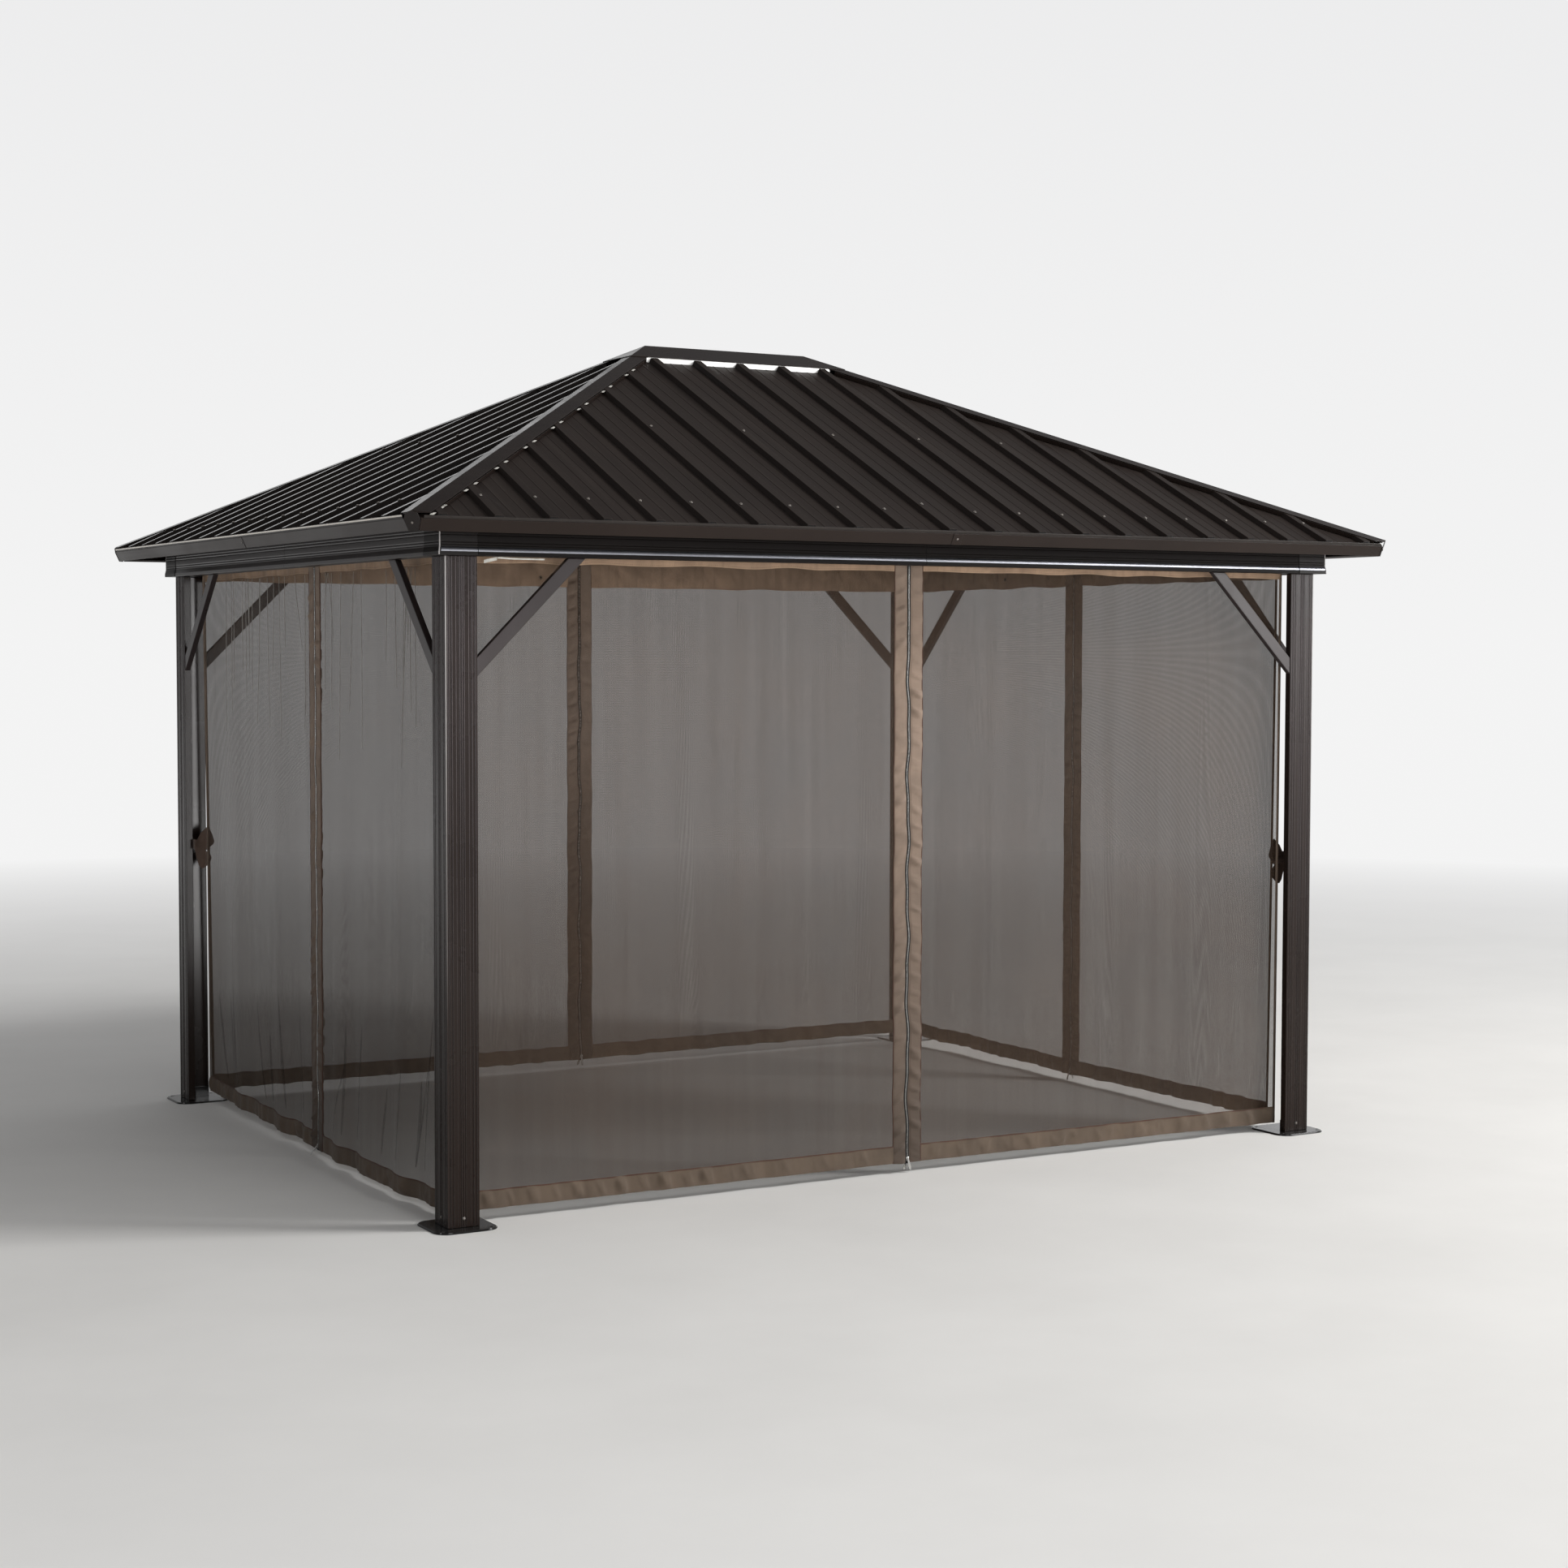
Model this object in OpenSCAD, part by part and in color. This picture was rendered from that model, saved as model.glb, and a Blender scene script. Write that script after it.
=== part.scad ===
// Metal gazebo with a hipped, ribbed sheet roof, L-shaped posts and net walls.
// Millimetres. X runs along the long side, the front faces -Y, Z is up.
// The origin is the middle of the footprint, at ground level.

/* [Roof] */
// Length of the roof along X, over the eave trim
roof_l = 3630; // [3400:10:4600]
// Depth of the roof along Y, over the eave trim
roof_w = 2980; // [2400:10:3200]
// Slope of all four roof planes, in degrees
roof_pitch = 25; // [20:1:30]
// Height of the eave's top edge above the underside of the beams
eave_rise = 91; // [75:1:120]
// Thickness of the roof sheets
sheet_t = 2; // [1:0.5:4]
// Spacing of the ribs in the roof sheets
rib_pitch = 171; // [140:1:240]
// Width of a rib at its foot
rib_base = 42; // [34:1:60]
// Width of a rib across its top
rib_top = 26; // [16:1:30]
// Height of a rib
rib_h = 15; // [8:1:24]
// Spacing of the two stiffening beads between neighbouring ribs
bead_spacing = 44; // [30:1:60]
// Width of a stiffening bead
bead_w = 6; // [4:0.5:10]
// Height of a stiffening bead
bead_h = 1.2; // [0.6:0.1:2]

/* [Roof trim] */
// Thickness of the eave trim, hip caps and ridge cap
trim_t = 2; // [1:0.5:4]
// Depth of the eave trim's face
fascia_h = 38; // [30:1:60]
// Height of the eave trim's lip above the roof sheet
fascia_lip = 3; // [1:0.5:6]
// Width of the eave trim's ledge under the roof sheet
fascia_ledge = 30; // [20:1:50]
// Length that a corner cap cuts off each eave
corner_cut = 35; // [25:1:50]
// Width of each wing of a hip cap
hip_w = 45; // [35:1:60]
// Distance from the ridge to the edge of the ridge cap
ridge_reach = 112; // [95:1:150]
// Thickness of the notched closure strips under the ridge cap
closure_t = 10; // [5:1:20]
// Distance that the closure strips stand in from the ridge cap's edge
closure_in = 4; // [2:1:15]

/* [Roof frame] */
// Width of the hip rafters and the ridge beam
rafter_w = 40; // [30:1:60]
// Depth of the hip rafters and the ridge beam
rafter_h = 65; // [55:1:80]
// Distance from the eave to the outer end of a hip rafter
rafter_tail = 50; // [44:1:80]
// Width of the eave rails
eave_rail_w = 40; // [30:1:50]
// Width of the mid purlins along the slope
purlin_w = 40; // [30:1:60]
// Depth of the mid purlins
purlin_h = 25; // [15:1:40]
// Distance from the eave to the middle of the mid purlins, in plan
purlin_at = 745; // [600:5:950]

/* [Posts] */
// Height of the underside of the beams above the ground
post_h = 1963; // [1800:1:2300]
// Distance from the eave to the outer faces of the posts
eave_in = 185; // [170:1:220]
// Width of each leg of a post
leg_w = 100; // [80:1:140]
// Thickness of each leg of a post
leg_t = 25; // [15:1:35]
// Width of the grooves in posts and beams
groove_w = 3.5; // [1.5:0.1:4]
// Depth of the grooves in posts and beams
groove_d = 1.8; // [0.5:0.1:2]

/* [Foot plates] */
// Width of the foot plates
plate_w = 200; // [180:1:260]
// Thickness of the foot plates
plate_t = 6; // [4:0.5:10]
// Corner radius of the foot plates
plate_r = 45; // [40:1:60]
// Width of the step around the foot plate's upper edge
plate_step = 3; // [2:0.5:6]
// Height of the upstand that holds a post
upstand_h = 38; // [25:1:60]
// Thickness of the upstand
upstand_t = 3; // [2:0.5:5]
// Distance from the foot plate's edges to the middle of an anchor hole
anchor_edge = 25; // [20:1:30]
// Radius of the anchor holes
anchor_r = 5; // [4:0.5:7]

/* [Beams and braces] */
// Height of the beams
beam_h = 97; // [80:1:110]
// Thickness of the beams
beam_t = 60; // [50:1:70]
// Distance that the beams stand out from the posts
beam_proud = 30; // [20:1:30]
// Height of the lip along the foot of a beam's outer face
beam_lip_h = 11; // [6:1:14]
// Height of the sloped strip above that lip
beam_strip_h = 14; // [8:1:18]
// Distance that a beam's face stands back above the strip
beam_strip_in = 3; // [1:0.5:6]
// Length of each arm of a beam corner
beam_corner_l = 120; // [100:1:160]
// Distance that a beam corner stands out from the beams
beam_corner_proud = 1.5; // [0.5:0.1:3]
// Width of the knee braces
brace_w = 40; // [30:1:60]
// Thickness of the knee braces
brace_t = 20; // [12:1:22]
// Distance that the braces stand back from the posts' outer faces
brace_in = 2; // [0:0.5:4]
// Drop of a brace's lower edge from the beam to the post
brace_drop = 349; // [250:1:500]

/* [Nets] */
// Distance from the posts' outer faces to the middle of the nets
net_in = 75; // [70:1:95]
// Thickness of the space that a net's folds take up
net_t = 8; // [4:1:12]
// Distance from the end of a net to the neighbouring net
net_corner_gap = 9; // [5:1:60]
// Height of a net's hem above the ground
net_clear = 30; // [8:1:60]
// Distance from the beams' upper edge down to the net rail
rail_drop = 1; // [0.5:0.5:20]
// Thickness of the net rail's flanges
rail_t = 3; // [2:0.5:5]
// Height of the net rail's flange against the beam
rail_h = 30; // [20:1:50]
// Width and height of the track in the net rail
track_w = 14; // [12:1:18]

/* [Clearances] */
// Clearance between pieces that seat on each other
seat_gap = 0.3; // [0.1:0.1:0.6]
// Width of the open joint where two lengths of beam or trim meet
joint_gap = 0.8; // [0.4:0.1:0.9]
// Distance from a roof sheet's edge to the line of the hip or ridge
sheet_back = 8; // [4:1:14]

/* [Hidden] */
$fn = 48;

// Sides of the gazebo as the directions that they face, in plan
FRONT = [0, -1];
RIGHT = [1, 0];
BACK = [0, 1];
LEFT = [-1, 0];
SIDES = [FRONT, RIGHT, BACK, LEFT];

// Corners as the signs of X and Y
FRONT_LEFT = [-1, -1];
FRONT_RIGHT = [1, -1];
BACK_LEFT = [-1, 1];
BACK_RIGHT = [1, 1];
CORNERS = [FRONT_LEFT, FRONT_RIGHT, BACK_LEFT, BACK_RIGHT];

// Colours of the finishes
bronze = "#3b3532";
bronze_dark = "#2a2522";
silver = "#c9c7c2";
net_brown = "#6b5a4a";

// Grooves across a post's face, from its outer corner, and up a beam's face, from its sloped strip
post_grooves = [for (share = [0.09, 0.18, 0.42, 0.49, 0.56, 0.81, 0.91]) share * leg_w];
beam_face_z = beam_lip_h + beam_strip_h;
beam_grooves = [for (share = [0.08, 0.19, 0.48, 0.61]) beam_face_z + share * (beam_h - beam_face_z)];

// Half sizes of the roof, and half the length of the ridge
half_l = roof_l / 2;
half_w = roof_w / 2;
ridge_half = half_l - half_w;
post_x = half_l - eave_in;
post_y = half_w - eave_in;
beam_in = eave_in - beam_proud;
beam_top = post_h + beam_h;
eave_z = post_h + eave_rise;
rise = tan(roof_pitch);
hip_angle = atan(rise / sqrt(2));
slope_len = half_l / cos(roof_pitch);
far = roof_l;

// Levels above the roof sheet's upper face, square to the slope
sheet_under = -sheet_t - seat_gap;
hip_lo = rib_h + seat_gap;
hip_hi = hip_lo + trim_t;
ridge_lo = hip_hi + seat_gap;
ridge_hi = ridge_lo + trim_t;

// The eave trim's outer edge is the edge of the roof, and the sheet starts just inside it
fascia_at = fascia_lip * rise;
sheet_at = (fascia_at + trim_t + seat_gap) * cos(roof_pitch) + sheet_t * sin(roof_pitch);
sheet_chamfer = corner_cut + (trim_t / cos(hip_angle) + sheet_t * rise + seat_gap) * sqrt(2);
hip_stop = hip_w / sqrt(2) + 2 * seat_gap + rafter_w;

// Distance from the middle to the eave of a side, and half the length of that eave
function is_long(side) = side[0] == 0;
function reach(side) = is_long(side) ? half_w : half_l;
function span(side) = is_long(side) ? half_l : half_w;

// Height of the hip line's top for a beam of a given width, at a plan distance in from the eave
function under_hip(d, w) = eave_z + (d - w / 2 / sqrt(2)) * rise + sheet_under / cos(roof_pitch);
function under_ridge(w) = eave_z + (half_w - w / 2) * rise + sheet_under / cos(roof_pitch);

// Places a piece made for the front on another side, or one made for the front left on another corner
module at_side(side) {
    rotate([0, 0, atan2(side[0], -side[1])]) children();
}
module at_corner(corner) {
    mirror([corner[0] > 0 ? 1 : 0, 0, 0]) mirror([0, corner[1] > 0 ? 1 : 0, 0]) children();
}

// Extrudes a section along X: its x runs inwards and its y upwards
module along_x(x0, x1) {
    rotate([90, 0, 90]) translate([0, 0, x0]) linear_extrude(x1 - x0) children();
}

// Carries a section along a side's eave: its x runs up the slope and its y square to it
module along_eave(side, x0, x1) {
    at_side(side) translate([0, -reach(side), eave_z]) rotate([roof_pitch, 0, 0]) along_x(x0, x1) children();
}

// Upright prism over a side's part of the roof, from d0 to d1 in from the eave and cut back from the hips.
// Its corners at the eave can be cut off square to the hips, by a length along the eave.
module side_prism(side, d0, d1, cut = 0, chamfer = 0) {
    s = span(side) - cut * sqrt(2);
    r = reach(side);
    turn = max(d0, (chamfer - cut * sqrt(2)) / 2);
    flat_top = s > d1;
    foot = turn > d0 ? [[chamfer - d0 - span(side), d0 - r], [span(side) - chamfer + d0, d0 - r]] : [];
    top = flat_top ? [[s - d1, d1 - r], [d1 - s, d1 - r]] : [[0, s - r]];
    at_side(side) linear_extrude(far)
        polygon(concat(foot, [[s - turn, turn - r]], top, [[turn - s, turn - r]]));
}

// Slab parallel to a side's roof plane between two levels above the sheet
module slope_slab(side, lo, hi) {
    at_side(side) translate([0, -reach(side), eave_z]) rotate([roof_pitch, 0, 0])
        translate([-far, -far, lo]) cube([2 * far, 2 * far, hi - lo]);
}

// Upright strip beside the front left hip, from g0 to g1 along it and from q0 to q1 across it
module hip_strip(g0, g1, q0, q1) {
    translate([-half_l, -half_w, 0]) rotate([0, 0, 45]) translate([g0, -q1, 0]) cube([g1 - g0, q1 - q0, far]);
}

// Upper outline of a ribbed sheet, moved outwards square to each face. A rib stands in the middle of the long
// sides and a flat lies in the middle of the short ones
rib_flank = atan2(rib_h, (rib_base - rib_top) / 2);
bead_flank = atan2(bead_h, bead_w / 2);
function rib_points(x, out) = let (push = out * tan(rib_flank / 2)) [
    [x - rib_base / 2 - push, out], [x - rib_top / 2 - push, rib_h + out],
    [x + rib_top / 2 + push, rib_h + out], [x + rib_base / 2 + push, out]
];
function bead_points(x, out) = let (push = out * tan(bead_flank / 2)) [
    [x - bead_w / 2 - push, out], [x, bead_h + out / cos(bead_flank)], [x + bead_w / 2 + push, out]
];
function bay_points(x, out) = concat(
    rib_points(x, out),
    bead_points(x + rib_pitch / 2 - bead_spacing / 2, out),
    bead_points(x + rib_pitch / 2 + bead_spacing / 2, out)
);
function rib_count(side) = ceil(span(side) / rib_pitch);
function rib_shift(side) = is_long(side) ? 0 : rib_pitch / 2;
function sheet_outline(side, out) = [
    for (i = [-rib_count(side):rib_count(side)], p = bay_points(rib_shift(side) + i * rib_pitch, out)) p
];
function backwards(points) = [for (i = [len(points) - 1:-1:0]) points[i]];

// Stands a section of the sheet on a side's roof plane and runs it up the slope
module up_slope(side) {
    at_side(side) translate([0, -reach(side), eave_z]) rotate([90 + roof_pitch, 0, 0])
        translate([0, 0, -slope_len]) linear_extrude(slope_len + eave_in) children();
}

module roof_sheet(side) {
    ridge_back = is_long(side) ? sheet_back : 0;
    color(bronze) intersection() {
        up_slope(side)
            polygon(concat(sheet_outline(side, 0), backwards(sheet_outline(side, -sheet_t))));
        side_prism(side, sheet_at, half_w - ridge_back, sheet_back, sheet_chamfer);
    }
}

// Everything behind the front left corner cap, which leans in towards its foot
module behind_corner_cap() {
    translate([-half_l, -half_w, eave_z]) rotate([0, 0, 45])
        translate([corner_cut / sqrt(2) + (trim_t + seat_gap) / cos(hip_angle), 0, 0])
        rotate([0, -hip_angle, 0]) translate([0, -far / 2, -far / 2]) cube(far);
}
module hip_cap_wing(side, q0, q1) {
    intersection() {
        slope_slab(side, hip_lo, hip_hi);
        hip_strip(0, (half_w - hip_stop) * sqrt(2), q0, q1);
        translate([-half_l + sheet_at, -half_w + sheet_at, 0]) cube(far);
        behind_corner_cap();
    }
}
module hip_cap(corner) {
    color(bronze) at_corner(corner) union() {
        hip_cap_wing(FRONT, 0, hip_w);
        hip_cap_wing(LEFT, -hip_w, 0);
    }
}

module ridge_cap() {
    color(bronze) union() {
        for (side = SIDES) intersection() {
            slope_slab(side, ridge_lo, ridge_hi);
            side_prism(side, half_w - ridge_reach, half_w);
        }
    }
}

module ridge_closures() {
    closure_at = half_w - ridge_reach + closure_in;
    closure_half = ridge_half + ridge_reach - hip_w * sqrt(2);
    color(silver) for (side = [FRONT, BACK]) difference() {
        intersection() {
            slope_slab(side, seat_gap, ridge_lo - seat_gap);
            at_side(side) translate([-closure_half, closure_at - half_w, 0])
                cube([2 * closure_half, closure_t, far]);
        }
        up_slope(side) polygon(concat(
            [[-span(side) - rib_pitch, -rib_h]],
            sheet_outline(side, seat_gap),
            [[span(side) + rib_pitch, -rib_h]]
        ));
    }
}

module fascia_section() {
    ledge = sheet_under - trim_t;
    foot = fascia_lip - fascia_h;
    translate([fascia_at, 0]) polygon([
        [0, fascia_lip], [0, foot], [fascia_ledge / 2, foot], [fascia_ledge / 2, foot + trim_t],
        [trim_t, foot + trim_t], [trim_t, ledge], [fascia_ledge, ledge], [fascia_ledge, ledge + trim_t],
        [trim_t, ledge + trim_t], [trim_t, fascia_lip]
    ]);
}
module fascia(side) {
    end = span(side) - corner_cut - (trim_t + seat_gap) * sqrt(2);
    color(bronze) {
        along_eave(side, -end, -joint_gap / 2) fascia_section();
        along_eave(side, joint_gap / 2, end) fascia_section();
    }
}

// A corner cap is a plate square to the hip, in line with the lean of the trim on both sides of it
module corner_cap_plate() {
    top_half = corner_cut / sqrt(2);
    drop = (fascia_h - fascia_lip) * cos(roof_pitch);
    foot_half = top_half - drop * rise / sqrt(2);
    lean_drop = drop / cos(hip_angle);
    peak = (corner_cut * rise / 2 + hip_hi / cos(roof_pitch)) * cos(hip_angle);
    side_rise = peak - top_half * sin(hip_angle);
    shoulder = top_half - side_rise * sin(hip_angle);
    translate([-half_l, -half_w, eave_z]) rotate([0, 0, 45])
        translate([top_half, 0, 0]) rotate([90, 0, 90]) rotate([-hip_angle, 0, 0])
        linear_extrude(trim_t)
        polygon([[-foot_half, -lean_drop], [foot_half, -lean_drop], [top_half, 0], [shoulder, side_rise],
            [0, peak], [-shoulder, side_rise], [-top_half, 0]]);
}
module roof_corner_caps() {
    color(bronze_dark) for (corner = CORNERS) at_corner(corner) corner_cap_plate();
}

module eave_rails() {
    color(bronze) for (side = SIDES) intersection() {
        at_side(side) translate([-far / 2, beam_in - reach(side), beam_top + seat_gap])
            cube([far, eave_rail_w, far]);
        slope_slab(side, -far, sheet_under);
        side_prism(side, 0, half_w, rafter_w / 2 + seat_gap);
    }
}

// A hip rafter sits on the beam corner with a level cut that runs out to its tail
module hip_rafter() {
    seat_z = beam_top + seat_gap;
    d0 = rafter_tail;
    d1 = half_w;
    seat_d = d0 + (seat_z + rafter_h - under_hip(d0, rafter_w)) / rise;
    difference() {
        translate([-half_l, -half_w, 0]) rotate([0, 0, 45]) rotate([90, 0, 0])
            linear_extrude(rafter_w, center = true) polygon([
                [d0 * sqrt(2), seat_z], [seat_d * sqrt(2), seat_z],
                [d1 * sqrt(2), under_hip(d1, rafter_w) - rafter_h],
                [d1 * sqrt(2), under_hip(d1, rafter_w)], [d0 * sqrt(2), under_hip(d0, rafter_w)]
            ]);
        translate([-far / 2, -rafter_w / 2 - seat_gap, 0]) cube(far);
    }
}
module hip_rafters() {
    color(bronze) for (corner = CORNERS) at_corner(corner) hip_rafter();
}

module mid_purlins() {
    s0 = purlin_at / cos(roof_pitch) - purlin_w / 2;
    color(bronze) for (side = SIDES) intersection() {
        along_eave(side, -span(side), span(side)) translate([s0, sheet_under - purlin_h])
            square([purlin_w, purlin_h]);
        side_prism(side, 0, half_w, rafter_w / 2 + seat_gap);
    }
}

module ridge_beam() {
    top = under_ridge(rafter_w);
    end = ridge_half + 2 * rafter_w;
    color(bronze) intersection() {
        translate([-end, -rafter_w / 2, top - rafter_h]) cube([2 * end, rafter_w, rafter_h]);
        slope_slab(RIGHT, -far, sheet_under);
        slope_slab(LEFT, -far, sheet_under);
    }
}

// Grooves cut into a straight face as points along it
function groove_points(places) = [
    for (g = places, p = [[g - groove_w / 2, 0], [g, groove_d], [g + groove_w / 2, 0]]) p
];
function swapped(points) = [for (p = backwards(points)) [p[1], p[0]]];

module post(corner) {
    face = groove_points(post_grooves);
    color(bronze) at_corner(corner) translate([-post_x, -post_y, plate_t + seat_gap])
        linear_extrude(post_h - plate_t - 2 * seat_gap) polygon(concat(
            [[0, 0]], face,
            [[leg_w, 0], [leg_w, leg_t], [leg_t, leg_t], [leg_t, leg_w], [0, leg_w]],
            swapped(face)
        ));
}

module rounded_plate(w, r, t) {
    straight = w / 2 - r;
    for (x = [-straight, straight], y = [-straight, straight]) translate([x, y, 0]) cylinder(t, r = r);
    translate([-w / 2, -straight, 0]) cube([w, 2 * straight, t]);
    translate([-straight, -w / 2, 0]) cube([2 * straight, w, t]);
}
module foot(corner) {
    inner = leg_t + seat_gap;
    anchor_at = plate_w / 2 - anchor_edge;
    color(bronze_dark) at_corner(corner) translate([-post_x, -post_y, 0]) difference() {
        union() {
            translate([leg_w / 2, leg_w / 2, 0]) {
                rounded_plate(plate_w, plate_r, plate_t / 2);
                rounded_plate(plate_w - 2 * plate_step, plate_r - plate_step, plate_t);
            }
            translate([inner, inner, 0]) {
                cube([leg_w - inner, upstand_t, plate_t + upstand_h]);
                cube([upstand_t, leg_w - inner, plate_t + upstand_h]);
            }
        }
        for (x = [-anchor_at, anchor_at], y = [-anchor_at, anchor_at])
            translate([leg_w / 2 + x, leg_w / 2 + y, -plate_t]) cylinder(3 * plate_t, r = anchor_r);
    }
}

module brace_plate() {
    tall = brace_w * sqrt(2);
    start = leg_w + seat_gap;
    top = -2 * seat_gap;
    linear_extrude(brace_t) polygon([
        [start, -brace_drop], [start + brace_drop + top, top],
        [start + brace_drop + top - tall, top], [start, tall - brace_drop]
    ]);
}
module braces(corner) {
    color(bronze) at_corner(corner) translate([-post_x, -post_y, post_h]) {
        translate([0, brace_in + brace_t, 0]) rotate([90, 0, 0]) brace_plate();
        translate([brace_in, 0, 0]) rotate([90, 0, 90]) brace_plate();
    }
}

// Section of a beam: x runs inwards from its outer face, which stands out by proud
module beam_section(proud = 0) {
    face = beam_strip_in - proud;
    polygon(concat(
        [[face, beam_h]], [for (p = swapped(groove_points(beam_grooves))) p + [face, 0]],
        [[face, beam_face_z], [-proud, beam_lip_h], [-proud, 0], [beam_t, 0], [beam_t, beam_h]]
    ));
}
module beam_run(side, proud = 0) {
    intersection() {
        at_side(side) translate([0, beam_in - reach(side), post_h]) along_x(-span(side), span(side))
            beam_section(proud);
        side_prism(side, 0, half_w);
    }
}
module beam(side) {
    end = span(side) - beam_in - beam_corner_l - joint_gap;
    color(bronze) for (half = [-1, 1]) intersection() {
        beam_run(side);
        at_side(side) translate([half * (end + joint_gap / 2) / 2, 0, far / 2])
            cube([end - joint_gap / 2, far, far], center = true);
    }
}
module beam_corner(corner) {
    color(bronze) at_corner(corner) intersection() {
        union() {
            beam_run(FRONT, beam_corner_proud);
            beam_run(LEFT, beam_corner_proud);
        }
        translate([-half_l, -half_w, 0]) cube([beam_in + beam_corner_l, beam_in + beam_corner_l, far]);
    }
}

// The net rail is an angle against the beam's inner face, with the net's track under its free edge
rail_z = beam_top - rail_drop;
track_in = beam_proud + net_in - beam_t;
module rail_section() {
    polygon([
        [seat_gap, rail_z], [seat_gap, rail_z - rail_h], [rail_t, rail_z - rail_h], [rail_t, rail_z - rail_t],
        [track_in - track_w / 2, rail_z - rail_t], [track_in - track_w / 2, rail_z - track_w],
        [track_in + track_w / 2, rail_z - track_w], [track_in + track_w / 2, rail_z]
    ]);
}
module net_rails() {
    color(silver) for (side = SIDES) {
        half = span(side) - eave_in - leg_w;
        at_side(side) translate([0, beam_in + beam_t - reach(side), 0]) along_x(-half, half) rail_section();
    }
}

module net(side) {
    half = span(side) - eave_in - net_in - net_t / 2 - net_corner_gap;
    top = rail_z - track_w - seat_gap;
    color(net_brown) at_side(side) for (x = [-half, joint_gap / 2])
        translate([x, eave_in + net_in - reach(side) - net_t / 2, net_clear])
            cube([half - joint_gap / 2, net_t, top - net_clear]);
}

post(FRONT_LEFT);  // post_front_left
post(FRONT_RIGHT);  // post_front_right
post(BACK_LEFT);  // post_back_left
post(BACK_RIGHT);  // post_back_right
foot(FRONT_LEFT);  // foot_front_left
foot(FRONT_RIGHT);  // foot_front_right
foot(BACK_LEFT);  // foot_back_left
foot(BACK_RIGHT);  // foot_back_right
braces(FRONT_LEFT);  // braces_front_left
braces(FRONT_RIGHT);  // braces_front_right
braces(BACK_LEFT);  // braces_back_left
braces(BACK_RIGHT);  // braces_back_right
beam(FRONT);  // beam_front
beam(RIGHT);  // beam_right
beam(BACK);  // beam_back
beam(LEFT);  // beam_left
beam_corner(FRONT_LEFT);  // beam_corner_front_left
beam_corner(FRONT_RIGHT);  // beam_corner_front_right
beam_corner(BACK_LEFT);  // beam_corner_back_left
beam_corner(BACK_RIGHT);  // beam_corner_back_right
eave_rails();
hip_rafters();
mid_purlins();
ridge_beam();
roof_sheet(FRONT);  // roof_front
roof_sheet(RIGHT);  // roof_right
roof_sheet(BACK);  // roof_back
roof_sheet(LEFT);  // roof_left
hip_cap(FRONT_LEFT);  // hip_cap_front_left
hip_cap(FRONT_RIGHT);  // hip_cap_front_right
hip_cap(BACK_LEFT);  // hip_cap_back_left
hip_cap(BACK_RIGHT);  // hip_cap_back_right
ridge_cap();
ridge_closures();
fascia(FRONT);  // fascia_front
fascia(RIGHT);  // fascia_right
fascia(BACK);  // fascia_back
fascia(LEFT);  // fascia_left
roof_corner_caps();
net_rails();
net(FRONT);  // net_front
net(RIGHT);  // net_right
net(BACK);  // net_back
net(LEFT);  // net_left
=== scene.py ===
"""Metal gazebo with a hipped, ribbed roof and net walls.

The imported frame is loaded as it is. This script gives its nodes their finishes, replaces the four nets
with sewn cloth, and adds the small hardware: screws, closures, strips, zips, eyelets and ties.
"""

import logging
import math
from collections.abc import Sequence
from dataclasses import dataclass, field
from enum import Enum

import bmesh
import bpy
import numpy as np
from mathutils import Matrix, Vector


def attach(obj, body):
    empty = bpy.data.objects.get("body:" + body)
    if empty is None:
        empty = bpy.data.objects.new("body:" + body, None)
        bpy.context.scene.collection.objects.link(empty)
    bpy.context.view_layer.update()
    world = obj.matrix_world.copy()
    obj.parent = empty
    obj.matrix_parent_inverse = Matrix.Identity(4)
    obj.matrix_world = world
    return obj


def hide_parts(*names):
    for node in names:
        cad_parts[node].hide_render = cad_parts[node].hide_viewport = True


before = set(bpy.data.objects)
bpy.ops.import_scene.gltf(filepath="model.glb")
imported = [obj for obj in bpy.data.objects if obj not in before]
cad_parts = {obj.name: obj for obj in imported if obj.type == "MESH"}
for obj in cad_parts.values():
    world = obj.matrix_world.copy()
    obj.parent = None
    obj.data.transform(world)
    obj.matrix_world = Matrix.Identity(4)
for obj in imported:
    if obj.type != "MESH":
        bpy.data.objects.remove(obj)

LOG = logging.getLogger("gazebo")
BODY = "root"
UP = np.array([0.0, 0.0, 1.0])
TURN = 2 * math.pi
SHARP = math.radians(38)
ZIP_SWAY = 0.0036
ZIP_WAVES = (0.34, 0.151)

Socket = bpy.types.NodeSocket
Material = bpy.types.Material
Object = bpy.types.Object
Feed = Socket | float | tuple
Triple = tuple[float, float, float]
Outline = Sequence[tuple[float, float]]


class Side(Enum):
    """A side of the gazebo, as the plan directions along it and out of it."""

    FRONT = ((1, 0), (0, -1))
    RIGHT = ((0, 1), (1, 0))
    BACK = ((-1, 0), (0, 1))
    LEFT = ((0, -1), (-1, 0))

    @property
    def along(self) -> np.ndarray:
        """Direction to the right, seen from outside."""
        return np.array([*self.value[0], 0.0])

    @property
    def out(self) -> np.ndarray:
        """Direction that the side faces."""
        return np.array([*self.value[1], 0.0])

    @property
    def label(self) -> str:
        """Name used in piece names."""
        return self.name.lower()

    @property
    def is_long(self) -> bool:
        """True for the front and the back."""
        return self.value[1][0] == 0


class Corner(Enum):
    """A corner of the gazebo, as the signs of X and Y."""

    FRONT_LEFT = (-1, -1)
    FRONT_RIGHT = (1, -1)
    BACK_LEFT = (-1, 1)
    BACK_RIGHT = (1, 1)

    @property
    def label(self) -> str:
        """Name used in piece names."""
        return self.name.lower()


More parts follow.
